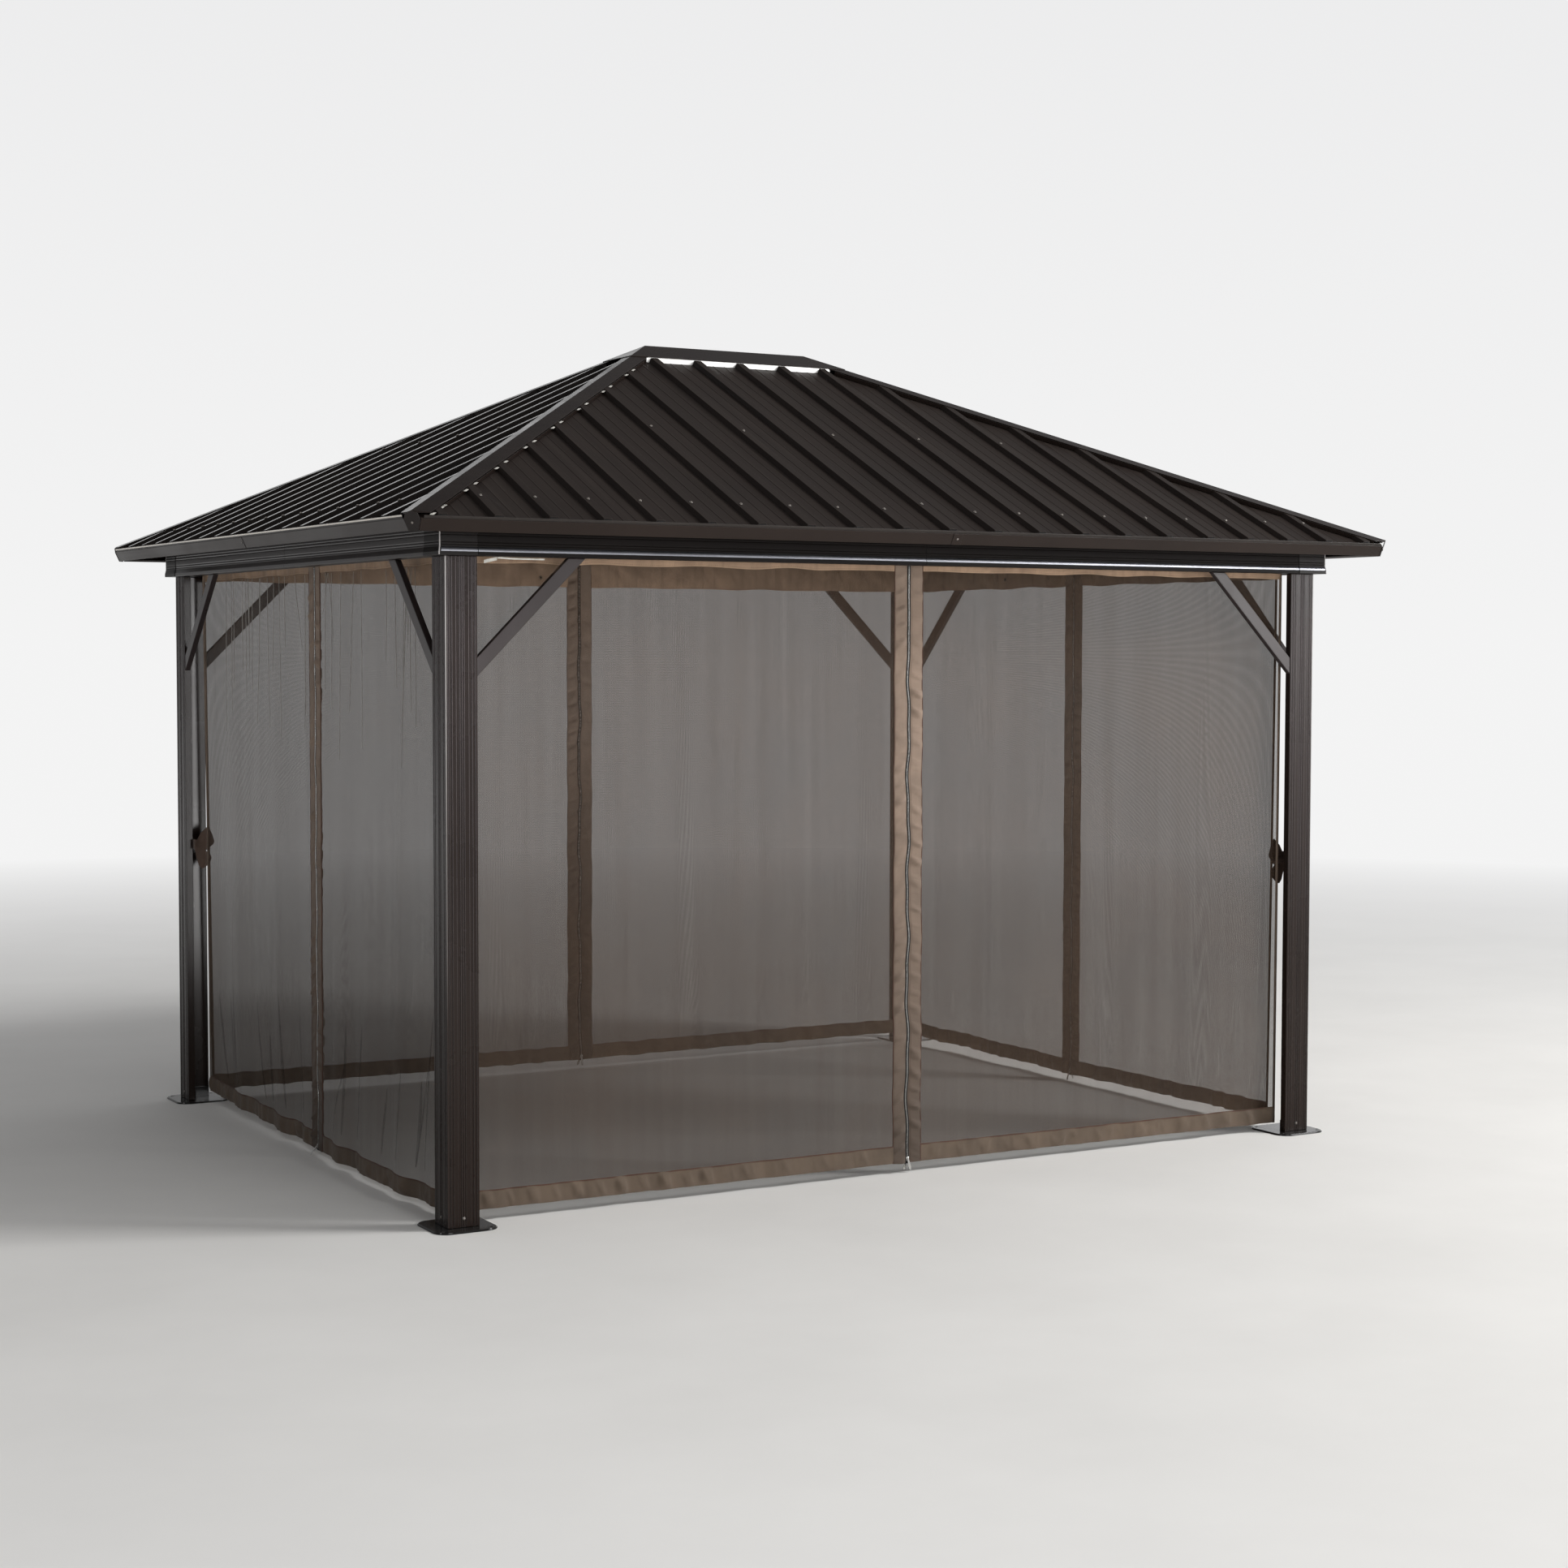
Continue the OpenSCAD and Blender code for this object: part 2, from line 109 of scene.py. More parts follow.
class Streaks(Enum):
    """Which way the faint marks in a coat of paint run, as noise scales along X, Y and Z."""

    UPRIGHT = (24.0, 24.0, 0.7)
    LEVEL = (0.8, 0.8, 55.0)
    DOWN_LONG_SLOPES = (42.0, 0.8, 0.8)
    DOWN_SHORT_SLOPES = (0.8, 42.0, 0.8)


def linear(colour: str, share: float = 1.0) -> tuple[float, float, float, float]:
    """Turns a written colour into Blender's linear one.

    Args:
        colour: colour as "#rrggbb".
        share: factor on its brightness.

    Returns:
        Linear red, green, blue and alpha.
    """
    parts = [int(colour[i:i + 2], 16) / 255 for i in (1, 3, 5)]
    return (*(share * (c / 12.92 if c <= 0.04045 else ((c + 0.055) / 1.055) ** 2.4) for c in parts), 1.0)


def smooth(x: np.ndarray | float) -> np.ndarray:
    """Eases from 0 to 1 as x goes from 0 to 1."""
    x = np.clip(x, 0.0, 1.0)
    return x * x * (3 - 2 * x)


def unit(vector: np.ndarray) -> np.ndarray:
    """A vector, or each row of vectors, at a length of 1."""
    return vector / np.linalg.norm(vector, axis=-1, keepdims=True)


def around(count: int) -> np.ndarray:
    """Angles of points spread evenly around a circle."""
    return np.linspace(0, TURN, count, endpoint=False)


def zip_sway(side: Side, z: np.ndarray | float) -> np.ndarray:
    """How far the zip of a side wanders from its middle line.

    Args:
        side: the side.
        z: height.

    Returns:
        Distance along the side, which dies out at the beam and at the floor.
    """
    phase = 1.7 * list(Side).index(side)
    slow = np.sin(TURN * z / ZIP_WAVES[0] + phase)
    quick = np.sin(TURN * z / ZIP_WAVES[1] + 2.3 * phase + 1.0)
    return ZIP_SWAY * (slow + 0.55 * quick) * smooth((1.96 - z) / 0.5) * smooth((z + 0.05) / 0.12)


def put(name: str, data: bpy.types.ID) -> Object:
    """Puts a mesh, lamp or camera into the scene.

    Args:
        name: the object's name.
        data: what it shows.

    Returns:
        The object.
    """
    thing = bpy.data.objects.new(name, data)
    bpy.context.scene.collection.objects.link(thing)
    return thing


class Nodes:
    """Adds and links the nodes of one material or world."""

    def __init__(self, owner: Material | bpy.types.World) -> None:
        """Starts an empty tree of nodes.

        Args:
            owner: what the nodes belong to.
        """
        owner.use_nodes = True
        self.tree = owner.node_tree
        self.tree.nodes.clear()

    def add(self, kind: str, *values: Feed, **settings: object) -> bpy.types.Node:
        """Adds a node.

        Args:
            kind: the node's type name.
            values: socket or value for its first inputs, in their order.
            settings: attributes to set on it.

        Returns:
            The node.
        """
        node = self.tree.nodes.new(kind)
        for name, value in settings.items():
            setattr(node, name, value)
        for target, value in zip(node.inputs, values):
            self.feed(target, value)
        return node

    def feed(self, target: Socket, value: Feed) -> None:
        """Links a socket to an input, or sets the input's own value.

        Args:
            target: input socket.
            value: output socket, number or colour.
        """
        if isinstance(value, Socket):
            self.tree.links.new(value, target)
        else:
            target.default_value = value

    def math(self, operation: str, first: Feed, second: Feed = 0.0) -> Socket:
        """Adds a Math node.

        Args:
            operation: Blender's name of the operation.
            first: first operand.
            second: second operand.

        Returns:
            The result.
        """
        return self.add("ShaderNodeMath", first, second, operation=operation).outputs[0]

    def span(self, value: Feed, low: float, high: float, to_low: float = 0.0, to_high: float = 1.0) -> Socket:
        """Maps a range of values to another one, clamped.

        Args:
            value: what to map.
            low: value that gives to_low.
            high: value that gives to_high.
            to_low: result at low.
            to_high: result at high.

        Returns:
            The mapped value.
        """
        return self.add("ShaderNodeMapRange", value, low, high, to_low, to_high).outputs[0]

    def axes(self, vector: Socket) -> tuple[Socket, ...]:
        """Splits a vector into its X, Y and Z."""
        return tuple(self.add("ShaderNodeSeparateXYZ", vector).outputs)


class Graph(Nodes):
    """The nodes of one material, around a Principled shader."""

    def __init__(self, name: str) -> None:
        """Starts a plain material.

        Args:
            name: the material's name.
        """
        self.material = bpy.data.materials.new(name)
        super().__init__(self.material)
        self.shader = self.add("ShaderNodeBsdfPrincipled")
        self.result = self.add("ShaderNodeOutputMaterial").inputs["Surface"]
        self.feed(self.result, self.shader.outputs[0])
        self.place = self.add("ShaderNodeTexCoord").outputs["Object"]

    def set(self, **values: Feed) -> None:
        """Feeds the shader's inputs, named with underscores for spaces.

        Args:
            values: input name to socket or value.
        """
        for name, value in values.items():
            self.feed(self.shader.inputs[name.replace("_", " ")], value)

    def blend(self, share: Feed, first: Feed, second: Feed, mode: str = "MIX") -> Socket:
        """Mixes two colours.

        Args:
            share: share of the second one.
            first: first colour.
            second: second colour.
            mode: how they are mixed.

        Returns:
            The mixed colour.
        """
        node = self.add("ShaderNodeMix", data_type="RGBA", blend_type=mode)
        self.feed(node.inputs[0], share)
        self.feed(node.inputs[6], first)
        self.feed(node.inputs[7], second)
        return node.outputs[2]

    def noise(self, scale: float | tuple, detail: float = 3.0, rough: float = 0.55) -> Socket:
        """Adds noise in the frame's own coordinates.

        Args:
            scale: noise scale per metre, or one for each axis.
            detail: number of finer layers.
            rough: strength of the finer layers.

        Returns:
            Noise from 0 to 1.
        """
        place = self.place
        if isinstance(scale, tuple):
            mapping = self.add("ShaderNodeMapping")
            mapping.inputs["Scale"].default_value = scale
            self.feed(mapping.inputs["Vector"], place)
            place, scale = mapping.outputs[0], 1.0
        node = self.add("ShaderNodeTexNoise")
        self.feed(node.inputs["Vector"], place)
        for name, value in (("Scale", scale), ("Detail", detail), ("Roughness", rough)):
            node.inputs[name].default_value = value
        return node.outputs[0]

    def bump(self, height: Socket, strength: float, depth: float, base: Socket | None = None) -> None:
        """Gives the shader a bumpy normal.

        Args:
            height: height from 0 to 1.
            strength: share of the effect.
            depth: height of the bumps in metres.
            base: normal that the bumps stand on, if not the surface's own.
        """
        node = self.add("ShaderNodeBump")
        node.inputs["Strength"].default_value = strength
        node.inputs["Distance"].default_value = depth
        self.feed(node.inputs["Height"], height)
        if base:
            self.feed(node.inputs["Normal"], base)
        self.feed(self.shader.inputs["Normal"], node.outputs[0])

    def mottled(self, cloud: Socket, colour: str, dark: float, light: float, edge: float = 0.3) -> Socket:
        """Varies a colour with a noise.

        Args:
            cloud: the noise.
            colour: colour as "#rrggbb".
            dark: factor on its brightness where the noise is low.
            light: factor on its brightness where the noise is high.
            edge: noise that counts as low, and 1 less what counts as high.

        Returns:
            The colour.
        """
        return self.blend(self.span(cloud, edge, 1 - edge), linear(colour, dark), linear(colour, light))

    def cloth_axes(self) -> tuple[Socket, Socket]:
        """Coordinates across and up a net or band, on any side of the gazebo.

        Returns:
            Distance across and height, in metres.
        """
        x, y, z = self.axes(self.place)
        return self.math("ADD", x, y), z

    def rounded(self, radius: float) -> tuple[Socket, Socket]:
        """Rounds the edges of a solid for the light.

        Args:
            radius: how far from an edge the rounding reaches, in metres.

        Returns:
            The rounded normal, and a value that is 0 on flat faces and rises towards edges.
        """
        bevel = self.add("ShaderNodeBevel", radius, samples=6).outputs[0]
        flat = self.add("ShaderNodeNewGeometry").outputs["Normal"]
        dot = self.add("ShaderNodeVectorMath", bevel, flat, operation="DOT_PRODUCT")
        return bevel, self.span(dot.outputs["Value"], 0.985, 0.72)

    def hollows(self, reach: float) -> Socket:
        """Finds grooves, joints and covered corners.

        Args:
            reach: size of the hollows that count, in metres.

        Returns:
            1 deep in a hollow, 0 in the open.
        """
        node = self.add("ShaderNodeAmbientOcclusion", samples=5)
        node.inputs["Distance"].default_value = reach
        return self.span(node.outputs["AO"], 0.85, 0.3)


@dataclass(frozen=True)
class Paint:
    """Powder coat on steel or aluminium: fine grain, faint runs, dust on top and rubbed edges; the rubbed
    edges also carry painted highlight, hollows get painted shade, and where set the colour darkens towards
    the foot as painted shade.
    """

    name: str
    colour: str
    roughness: float
    specular: float = 0.5
    streaks: Streaks = Streaks.UPRIGHT
    mottle: float = 0.15
    dust: float = 0.04
    # edge wear, which also serves as a painted highlight on edges and grooves
    wear_and_highlight: float = 0.15
    runs: float = 0.08
    rounding: float = 0.0015
    grain: float = 900.0
    fade_z: float = 0.0
    # share and colour of the painted shade that darkens the coat towards the foot
    low_shade: float = 0.0
    low_shade_colour: str = "#1e130c"
    dust_colour: str = "#8d857a"
    worn_and_highlight_colour: str = "#a39c97"

    def make(self) -> Material:
        """Builds the material."""
        g = Graph(self.name)
        cloud = g.noise(2.3, 5.0, 0.6)
        runs = g.noise(self.streaks.value, 4.0, 0.65)
        grain = g.noise(self.grain, 2.0, 0.5)
        height = g.axes(g.place)[2]
        upward = g.axes(g.add("ShaderNodeNewGeometry").outputs["Normal"])[2]
        tone = g.mottled(cloud, self.colour, 1 - self.mottle, 1 + self.mottle, 0.32)
        tone = g.blend(g.span(runs, 0.52, 0.75, 0.0, self.runs), tone, linear(self.colour, 1.8))
        tone = g.blend(g.span(grain, 0.35, 0.7, 0.0, 0.14), tone, linear(self.colour, 0.45))
        lying = g.math("MULTIPLY", g.span(upward, 0.3, 0.95, 0.0, self.dust), g.span(runs, 0.3, 0.7))
        tone = g.blend(lying, tone, linear(self.dust_colour))
        normal, edge = g.rounded(self.rounding)
        # painted shade: the colour darkens towards the foot, below 2 m
        if self.low_shade:
            tone = g.blend(g.span(height, 0.6, 2.0, self.low_shade, 0.0), tone, linear(self.low_shade_colour))
        # edge wear and painted highlight: pale lines on edges and beside grooves, faded towards the foot
        # where fade_z is set
        worn_and_highlit = g.math("MULTIPLY", edge, g.span(cloud, 0.3, 0.62, 0.35 * self.wear_and_highlight, self.wear_and_highlight))
        if self.fade_z:
            worn_and_highlit = g.math("MULTIPLY", worn_and_highlit, g.span(height, 0.2, self.fade_z, 0.1, 1.0))
        tone = g.blend(worn_and_highlit, tone, linear(self.worn_and_highlight_colour))
        # painted shade in grooves, joints and covered corners
        tone = g.blend(g.math("MULTIPLY", g.hollows(0.006), 0.75), tone, linear(self.colour, 0.25))
        rough = g.math("ADD", g.span(cloud, 0.3, 0.7, self.roughness - 0.05, self.roughness + 0.05),
                       g.span(runs, 0.45, 0.8, 0.0, min(0.06, self.runs)))
        g.set(Base_Color=tone, Roughness=rough, Specular_IOR_Level=self.specular)
        g.bump(grain, 0.15, 0.0002, normal)
        return g.material


@dataclass(frozen=True)
class BareMetal:
    """Mill-finished or plated metal with fine brushing."""

    name: str
    colour: str
    roughness: float
    brushing: tuple[float, float, float] = (3.0, 3.0, 900.0)

    def make(self) -> Material:
        """Builds the material."""
        g = Graph(self.name)
        lines = g.noise(self.brushing, 3.0, 0.6)
        cloud = g.noise(11.0, 4.0, 0.6)
        tone = g.mottled(cloud, self.colour, 0.82, 1.0)
        tone = g.blend(g.span(lines, 0.35, 0.7, 0.0, 0.35), tone, linear(self.colour, 0.7))
        rough = g.span(lines, 0.3, 0.7, self.roughness - 0.06, self.roughness + 0.1)
        g.set(Base_Color=tone, Metallic=1.0, Roughness=rough)
        g.bump(lines, 0.12, 0.0001)
        return g.material


@dataclass(frozen=True)
class Moulded:
    """Moulded rubber or plastic with a faint texture."""

    name: str
    colour: str
    roughness: float

    def make(self) -> Material:
        """Builds the material."""
        g = Graph(self.name)
        cloud = g.noise(60.0, 4.0, 0.6)
        tone = g.mottled(cloud, self.colour, 0.75, 1.15)
        rough = g.span(cloud, 0.3, 0.7, self.roughness - 0.08, self.roughness + 0.08)
        g.set(Base_Color=tone, Roughness=rough)
        g.bump(g.noise(1500.0, 2.0), 0.2, 0.0002)
        return g.material


@dataclass(frozen=True)
class NetWeave:
    """See-through netting: crossing threads with open meshes between them, and faint fold lines painted
    lighter as highlights.
    """

    name: str
    colour: str
    pitch: float = 0.0017
    thread: float = 0.36
    open_cover: float = 0.40
    thread_cover: float = 0.76

    def make(self) -> Material:
        """Builds the material."""
        g = Graph(self.name)
        across, up = g.cloth_axes()
        threads = [g.math("LESS_THAN", g.math("FRACT", g.math("DIVIDE", axis, self.pitch)), self.thread)
                   for axis in (across, up)]
        crossing = g.math("MAXIMUM", *threads)
        folds = g.noise((17.0, 17.0, 0.5), 4.0, 0.62)
        cloud = g.noise(3.0, 4.0, 0.6)
        cover = g.span(crossing, 0.0, 1.0, self.open_cover, self.thread_cover)
        cover = g.math("ADD", cover, g.span(folds, 0.3, 0.75, -0.02, 0.04))
        tone = g.mottled(cloud, self.colour, 0.8, 1.2)
        # painted highlight: lighter streaks along the fold lines
        tone = g.blend(g.span(folds, 0.58, 0.8, 0.0, 0.3), tone, linear(self.colour, 1.7))
        g.set(Base_Color=tone, Alpha=g.math("MINIMUM", cover, 0.95), Specular_IOR_Level=0.2,
              Roughness=g.span(cloud, 0.3, 0.7, 0.6, 0.8))
        g.bump(crossing, 0.5, 0.0003)
        return g.material


@dataclass(frozen=True)
class Woven:
    """Sewn polyester cloth: plain weave, slightly uneven colour, dark streaks that are stains and, where
    strong, painted shade in folds, where set darker towards the bottom, and a soft sheen.
    """

    name: str
    colour: str
    pitch: float = 0.0011
    mottle: float = 0.18
    sheen: float = 0.1
    stain_and_fold_shade: float = 0.25
    low_darkening: float = 0.0

    def make(self) -> Material:
        """Builds the material."""
        g = Graph(self.name)
        across, up = g.cloth_axes()
        warp, weft = (g.math("SINE", g.math("MULTIPLY", axis, TURN / self.pitch)) for axis in (across, up))
        weave = g.span(g.math("MULTIPLY", warp, weft), -1.0, 1.0)
        cloud = g.noise(9.0, 5.0, 0.62)
        runs = g.noise((30.0, 30.0, 2.0), 4.0, 0.6)
        tone = g.mottled(cloud, self.colour, 1 - self.mottle, 1 + self.mottle)
        tone = g.blend(g.span(weave, 0.2, 0.8, 0.3, 0.0), tone, linear(self.colour, 0.5))
        # dark streaks: stains, and where strong, painted shade in the folds
        tone = g.blend(g.span(runs, 0.5, 0.78, 0.0, self.stain_and_fold_shade), tone, linear(self.colour, 0.6))
        # darker towards the bottom
        if self.low_darkening:
            tone = g.blend(g.span(up, 0.1, 1.3, self.low_darkening, 0.0), tone, linear(self.colour, 0.3))
        g.set(Base_Color=tone, Roughness=g.span(cloud, 0.3, 0.7, 0.68, 0.86), Specular_IOR_Level=0.2,
              Sheen_Weight=self.sheen)
        g.bump(weave, 0.35, 0.0004)
        return g.material


class Finishes:
    """Every finish of the gazebo, made once."""

    def __init__(self) -> None:
        """Makes the materials."""
        # posts: the pale worn colour on edges and grooves is painted highlight, faded towards the foot, and
        # the coat darkens towards the foot as painted shade
        self.post = Paint("post_paint", "#271d1a", 0.26, 0.22, Streaks.UPRIGHT, wear_and_highlight=0.6, runs=0.0,
                          rounding=0.0019, fade_z=1.8, low_shade=0.75, worn_and_highlight_colour="#b5b0b8").make()
        # painted highlight on the corner beads, darkened towards the foot as painted shade
        self.edge = Paint("corner_edge_painted_highlight", "#c4c0be", 0.4, 0.3, Streaks.UPRIGHT, low_shade=1.0,
                          low_shade_colour="#241812").make()
        # painted highlight on the fine lines beside the grooves, darkened towards the foot as painted shade
        self.flute = Paint("flute_painted_highlight", "#6c6264", 0.3, 0.3, Streaks.UPRIGHT, runs=0.0, low_shade=1.0,
                           low_shade_colour="#241812").make()
        self.foot = Paint("foot_gloss", "#171616", 0.14, 0.36, Streaks.UPRIGHT, mottle=0.3, dust=0.06).make()
        # painted shade: the long beams take a darker, duller copy of the beam paint for the shade under the
        # eave
        self.beam_long_shaded = Paint("beam_paint_long_shaded", "#181413", 0.42, 0.08, Streaks.LEVEL, wear_and_highlight=0.12).make()
        self.beam_short = Paint("beam_paint_short", "#2a2423", 0.32, 0.42, Streaks.LEVEL, wear_and_highlight=0.25).make()
        self.beam_corner = Paint("beam_paint_corner", "#1d1918", 0.36, 0.14, Streaks.LEVEL, wear_and_highlight=0.3).make()
        self.frame = Paint("frame_paint", "#362e2e", 0.32, 0.4, Streaks.UPRIGHT).make()
        self.roof_long = Paint("roof_paint_long", "#28211e", 0.5, 0.12, Streaks.DOWN_LONG_SLOPES,
                               runs=0.2).make()
        # painted shade: the short slopes take a darker copy of the roof paint
        self.roof_short_shaded = Paint("roof_paint_short_shaded", "#191513", 0.2, 0.25, Streaks.DOWN_SHORT_SLOPES,
                                runs=0.1).make()
        self.trim = Paint("trim_paint", "#261c17", 0.38, 0.2, Streaks.LEVEL, dust=0.02).make()
        self.lip_long = Paint("eave_lip_long", "#332e2b", 0.4, 0.2, Streaks.LEVEL).make()
        # painted highlight: the rolled lip along the short sides' eaves is near-white
        self.lip_short_highlight = Paint("eave_lip_short", "#f0e9de", 0.3, 0.4, Streaks.LEVEL).make()
        self.hip = Paint("hip_cap_paint", "#221b18", 0.24, 0.12, Streaks.LEVEL, dust=0.02).make()
        self.cap = Paint("corner_cap_paint", "#231d1b", 0.36, 0.25, Streaks.UPRIGHT, mottle=0.2).make()
        self.stud = Paint("screw_paint", "#7d766f", 0.2, 0.6, Streaks.UPRIGHT, rounding=0.0006).make()
        self.closure = BareMetal("closure_metal", "#dcdbd8", 0.34).make()
        self.strip = BareMetal("strip_metal", "#9a9ba2", 0.28).make()
        self.rail = BareMetal("rail_metal", "#8f8c88", 0.42).make()
        self.screw = BareMetal("screw_metal", "#c9c8c5", 0.24, (200.0, 200.0, 200.0)).make()
        self.eyelet = BareMetal("eyelet_metal", "#8c7f6d", 0.34, (200.0, 200.0, 200.0)).make()
        self.rubber = Moulded("washer_rubber", "#161413", 0.6).make()
        self.track = Moulded("track_plastic", "#d6d3cb", 0.42).make()
        self.net = NetWeave("net_weave", "#3d2f24").make()
        self.net_fold = NetWeave("net_fold", "#2c221b", open_cover=0.16, thread_cover=0.34).make()
        self.border = Woven("border_cloth", "#907d6e", low_darkening=1.0).make()
        self.hem = Woven("hem_cloth", "#65574a", mottle=0.2).make()
        # painted light: the top band is lighter than the border cloth, as if lit through, with strong dark
        # streaks as painted fold shade
        self.band = Woven("top_band_cloth_painted_light", "#b0937a", mottle=0.25, stain_and_fold_shade=0.9).make()
        # painted highlight: pale cloth on the net's sharp folds
        self.crease = Woven("net_crease", "#aaa7a2", 0.0017, stain_and_fold_shade=0.1).make()
        self.tape = Woven("zip_tape", "#1b1917", 0.0008, sheen=0.1).make()
        self.thread = Woven("stitch_thread", "#54352b", 0.0006).make()
        self.tie = Woven("tie_cloth", "#645146", 0.0012, sheen=0.2).make()


class Draft:
    """Points and faces of one piece, gathered before they become a mesh."""

    def __init__(self, name: str) -> None:
        """Starts an empty piece.

        Args:
            name: the piece's name.
        """
        self.name = name
        self.points: list[np.ndarray] = []
        self.faces: list[tuple[int, ...]] = []
        self.slots: list[int] = []
        self.count = 0

    def add(self, points: np.ndarray, faces: np.ndarray | Sequence[Sequence[int]], slot: int = 0) -> None:
        """Adds points and the faces between them.

        Args:
            points: points, in metres.
            faces: corner indices of each face, counted from the first of these points.
            slot: index of the faces' finish.
        """
        points = np.asarray(points, float).reshape(-1, 3)
        self.points.append(points)
        self.faces.extend(tuple(int(i) + self.count for i in face) for face in faces)
        self.slots.extend([slot] * len(faces))
        self.count += len(points)

    def sheet(self, grid: np.ndarray, slot: int = 0, wrap: bool = False) -> None:
        """Adds a grid of points as a surface.

        Args:
            grid: points in rows and columns.
            slot: index of the finish.
            wrap: True to join the last column to the first.
        """
        n, m = grid.shape[:2]
        rows, columns = np.meshgrid(np.arange(n - 1), np.arange(m if wrap else m - 1), indexing="ij")
        near, far = rows * m, (rows + 1) * m
        after = (columns + 1) % m
        faces = np.stack([near + columns, far + columns, far + after, near + after], -1)
        self.add(grid, faces.reshape(-1, 4), slot)

    def tube(self, rings: np.ndarray, slot: int = 0) -> None:
        """Adds a closed body through a row of rings, with both ends closed.

        Args:
            rings: points of each ring, in order.
            slot: index of the finish.
        """
        n, m = rings.shape[:2]
        start = self.count
        self.sheet(rings, slot, wrap=True)
        for first in (start, start + (n - 1) * m):
            self.faces.append(tuple(range(first, first + m)))
            self.slots.append(slot)

    def lathe(self, profile: Outline, at: np.ndarray, axis: np.ndarray, turns: int, slot: int = 0) -> None:
        """Adds a turned body.

        Args:
            profile: radius and height of each ring.
            at: foot of the axis.
            axis: direction of the axis.
            turns: number of points around.
            slot: index of the finish.
        """
        axis = unit(axis)
        side = unit(np.cross(axis, [0.31, 0.87, 0.38]))
        other = np.cross(axis, side)
        angles = around(turns)[:, None]
        circle = np.cos(angles) * side + np.sin(angles) * other
        self.tube(np.array([at + axis * h + circle * r for r, h in profile]), slot)

    def bar(self, ends: np.ndarray, section: np.ndarray, slot: int = 0) -> None:
        """Adds a section carried from one place to the next.

        Args:
            ends: places along the bar.
            section: points of the section, relative to each place.
            slot: index of the finish.
        """
        self.tube(np.asarray(ends, float)[:, None, :] + np.asarray(section, float)[None, :, :], slot)

    def build(self, finishes: Sequence[Material], slot: str, soft: bool = True) -> Object:
        """Turns the gathered faces into a piece that rides on the gazebo.

        Args:
            finishes: materials, in the order of the faces' indices.
            slot: not used.
            soft: True to shade the faces smooth where they meet at small angles.

        Returns:
            The piece.
        """
        mesh = bpy.data.meshes.new(self.name)
        mesh.from_pydata(np.concatenate(self.points).tolist(), [], self.faces)
        mesh.polygons.foreach_set("material_index", self.slots)
        for finish in finishes:
            mesh.materials.append(finish)
        shape = bmesh.new()
        shape.from_mesh(mesh)
        bmesh.ops.recalc_face_normals(shape, faces=shape.faces)
        shape.to_mesh(mesh)
        shape.free()
        if soft:
            mesh.polygons.foreach_set("use_smooth", [True] * len(mesh.polygons))
            mesh.set_sharp_from_angle(angle=SHARP)
        piece = put(self.name, mesh)
        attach(piece, BODY)
        LOG.info("%s: %d faces", self.name, len(mesh.polygons))
        return piece


@dataclass
class PackedNodes:
    """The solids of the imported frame, dressed where they stand."""

    finishes: Finishes
    rounding: dict[str, float] = field(default_factory=lambda: {
        "post": 0.0012, "beam": 0.0010, "brace": 0.0022, "foot": 0.0012, "roof_f": 0.0016, "roof_b": 0.0016,
        "roof_l": 0.0016, "roof_r": 0.0016, "hip_c": 0.0007, "ridge_cap": 0.0007, "fascia": 0.0007,
    })
    weld_gap: float = 0.00002
    least_turn: float = math.radians(25)

    def finish_of(self, name: str) -> Material:
        """The finish of a node.

        Args:
            name: the node's name.

        Returns:
            Its material.
        """
        f = self.finishes
        by_start = {
            "post": f.post, "foot": f.foot, "beam_corner": f.beam_corner, "beam_front": f.beam_long_shaded,
            "beam_back": f.beam_long_shaded, "beam": f.beam_short, "brace": f.frame, "eave": f.frame,
            "hip_rafters": f.frame, "mid": f.frame, "ridge_beam": f.frame, "roof_front": f.roof_long,
            "roof_back": f.roof_long, "roof_left": f.roof_short_shaded, "roof_right": f.roof_short_shaded, "hip_cap": f.hip,
            "ridge_cap": f.hip, "fascia": f.trim, "roof_corner": f.cap, "ridge_closures": f.closure,
            "net_rails": f.rail,
        }
        return next(finish for start, finish in by_start.items() if name.startswith(start))

    def round_edges(self, node: Object, radius: float) -> None:
        """Rounds the sharp edges of a node.

        Args:
            node: the node.
            radius: width of the rounding.
        """
        weld = node.modifiers.new("join_faces", "WELD")
        weld.merge_threshold = self.weld_gap
        edge = node.modifiers.new("round_edges", "BEVEL")
        edge.width, edge.segments = radius, 2
        edge.limit_method, edge.angle_limit = "ANGLE", self.least_turn
        edge.use_clamp_overlap = True

    def dress(self) -> None:
        """Gives each node its finish and rounds the edges that a press or a saw leaves rounded."""
        for name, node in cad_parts.items():
            if name.startswith("net_") and name != "net_rails":
                continue
            node.data.materials.clear()
            node.data.materials.append(self.finish_of(name))
            for start, radius in self.rounding.items():
                if name.startswith(start):
                    self.round_edges(node, radius)
            LOG.info("%s: finish %s", name, node.data.materials[0].name)


@dataclass
class Screw:
    """A washer-faced screw: rubber ring, flange and a six-sided head with a domed top."""

    washer_r: float = 0.0078
    flange_r: float = 0.0066
    head_r: float = 0.0043
    head_h: float = 0.0042

    def add_to(self, draft: Draft, at: np.ndarray, axis: np.ndarray) -> None:
        """Adds the screw to a piece that has the metal first and the rubber second.

        Args:
            draft: the piece.
            at: point where the screw enters the surface.
            axis: direction out of the surface.
        """
        w, f, r, h = self.washer_r, self.flange_r, self.head_r, self.head_h
        draft.lathe([(w, -0.0004), (w, 0.0008), (w * 0.86, 0.0012)], at, axis, 14, 1)
        draft.lathe([(f, 0.0010), (f, 0.0016), (f * 0.8, 0.0021)], at, axis, 14, 0)
        draft.lathe([(r, 0.0018), (r, h * 0.8), (r * 0.8, h * 0.97), (r * 0.35, h * 1.06)], at, axis, 6, 0)


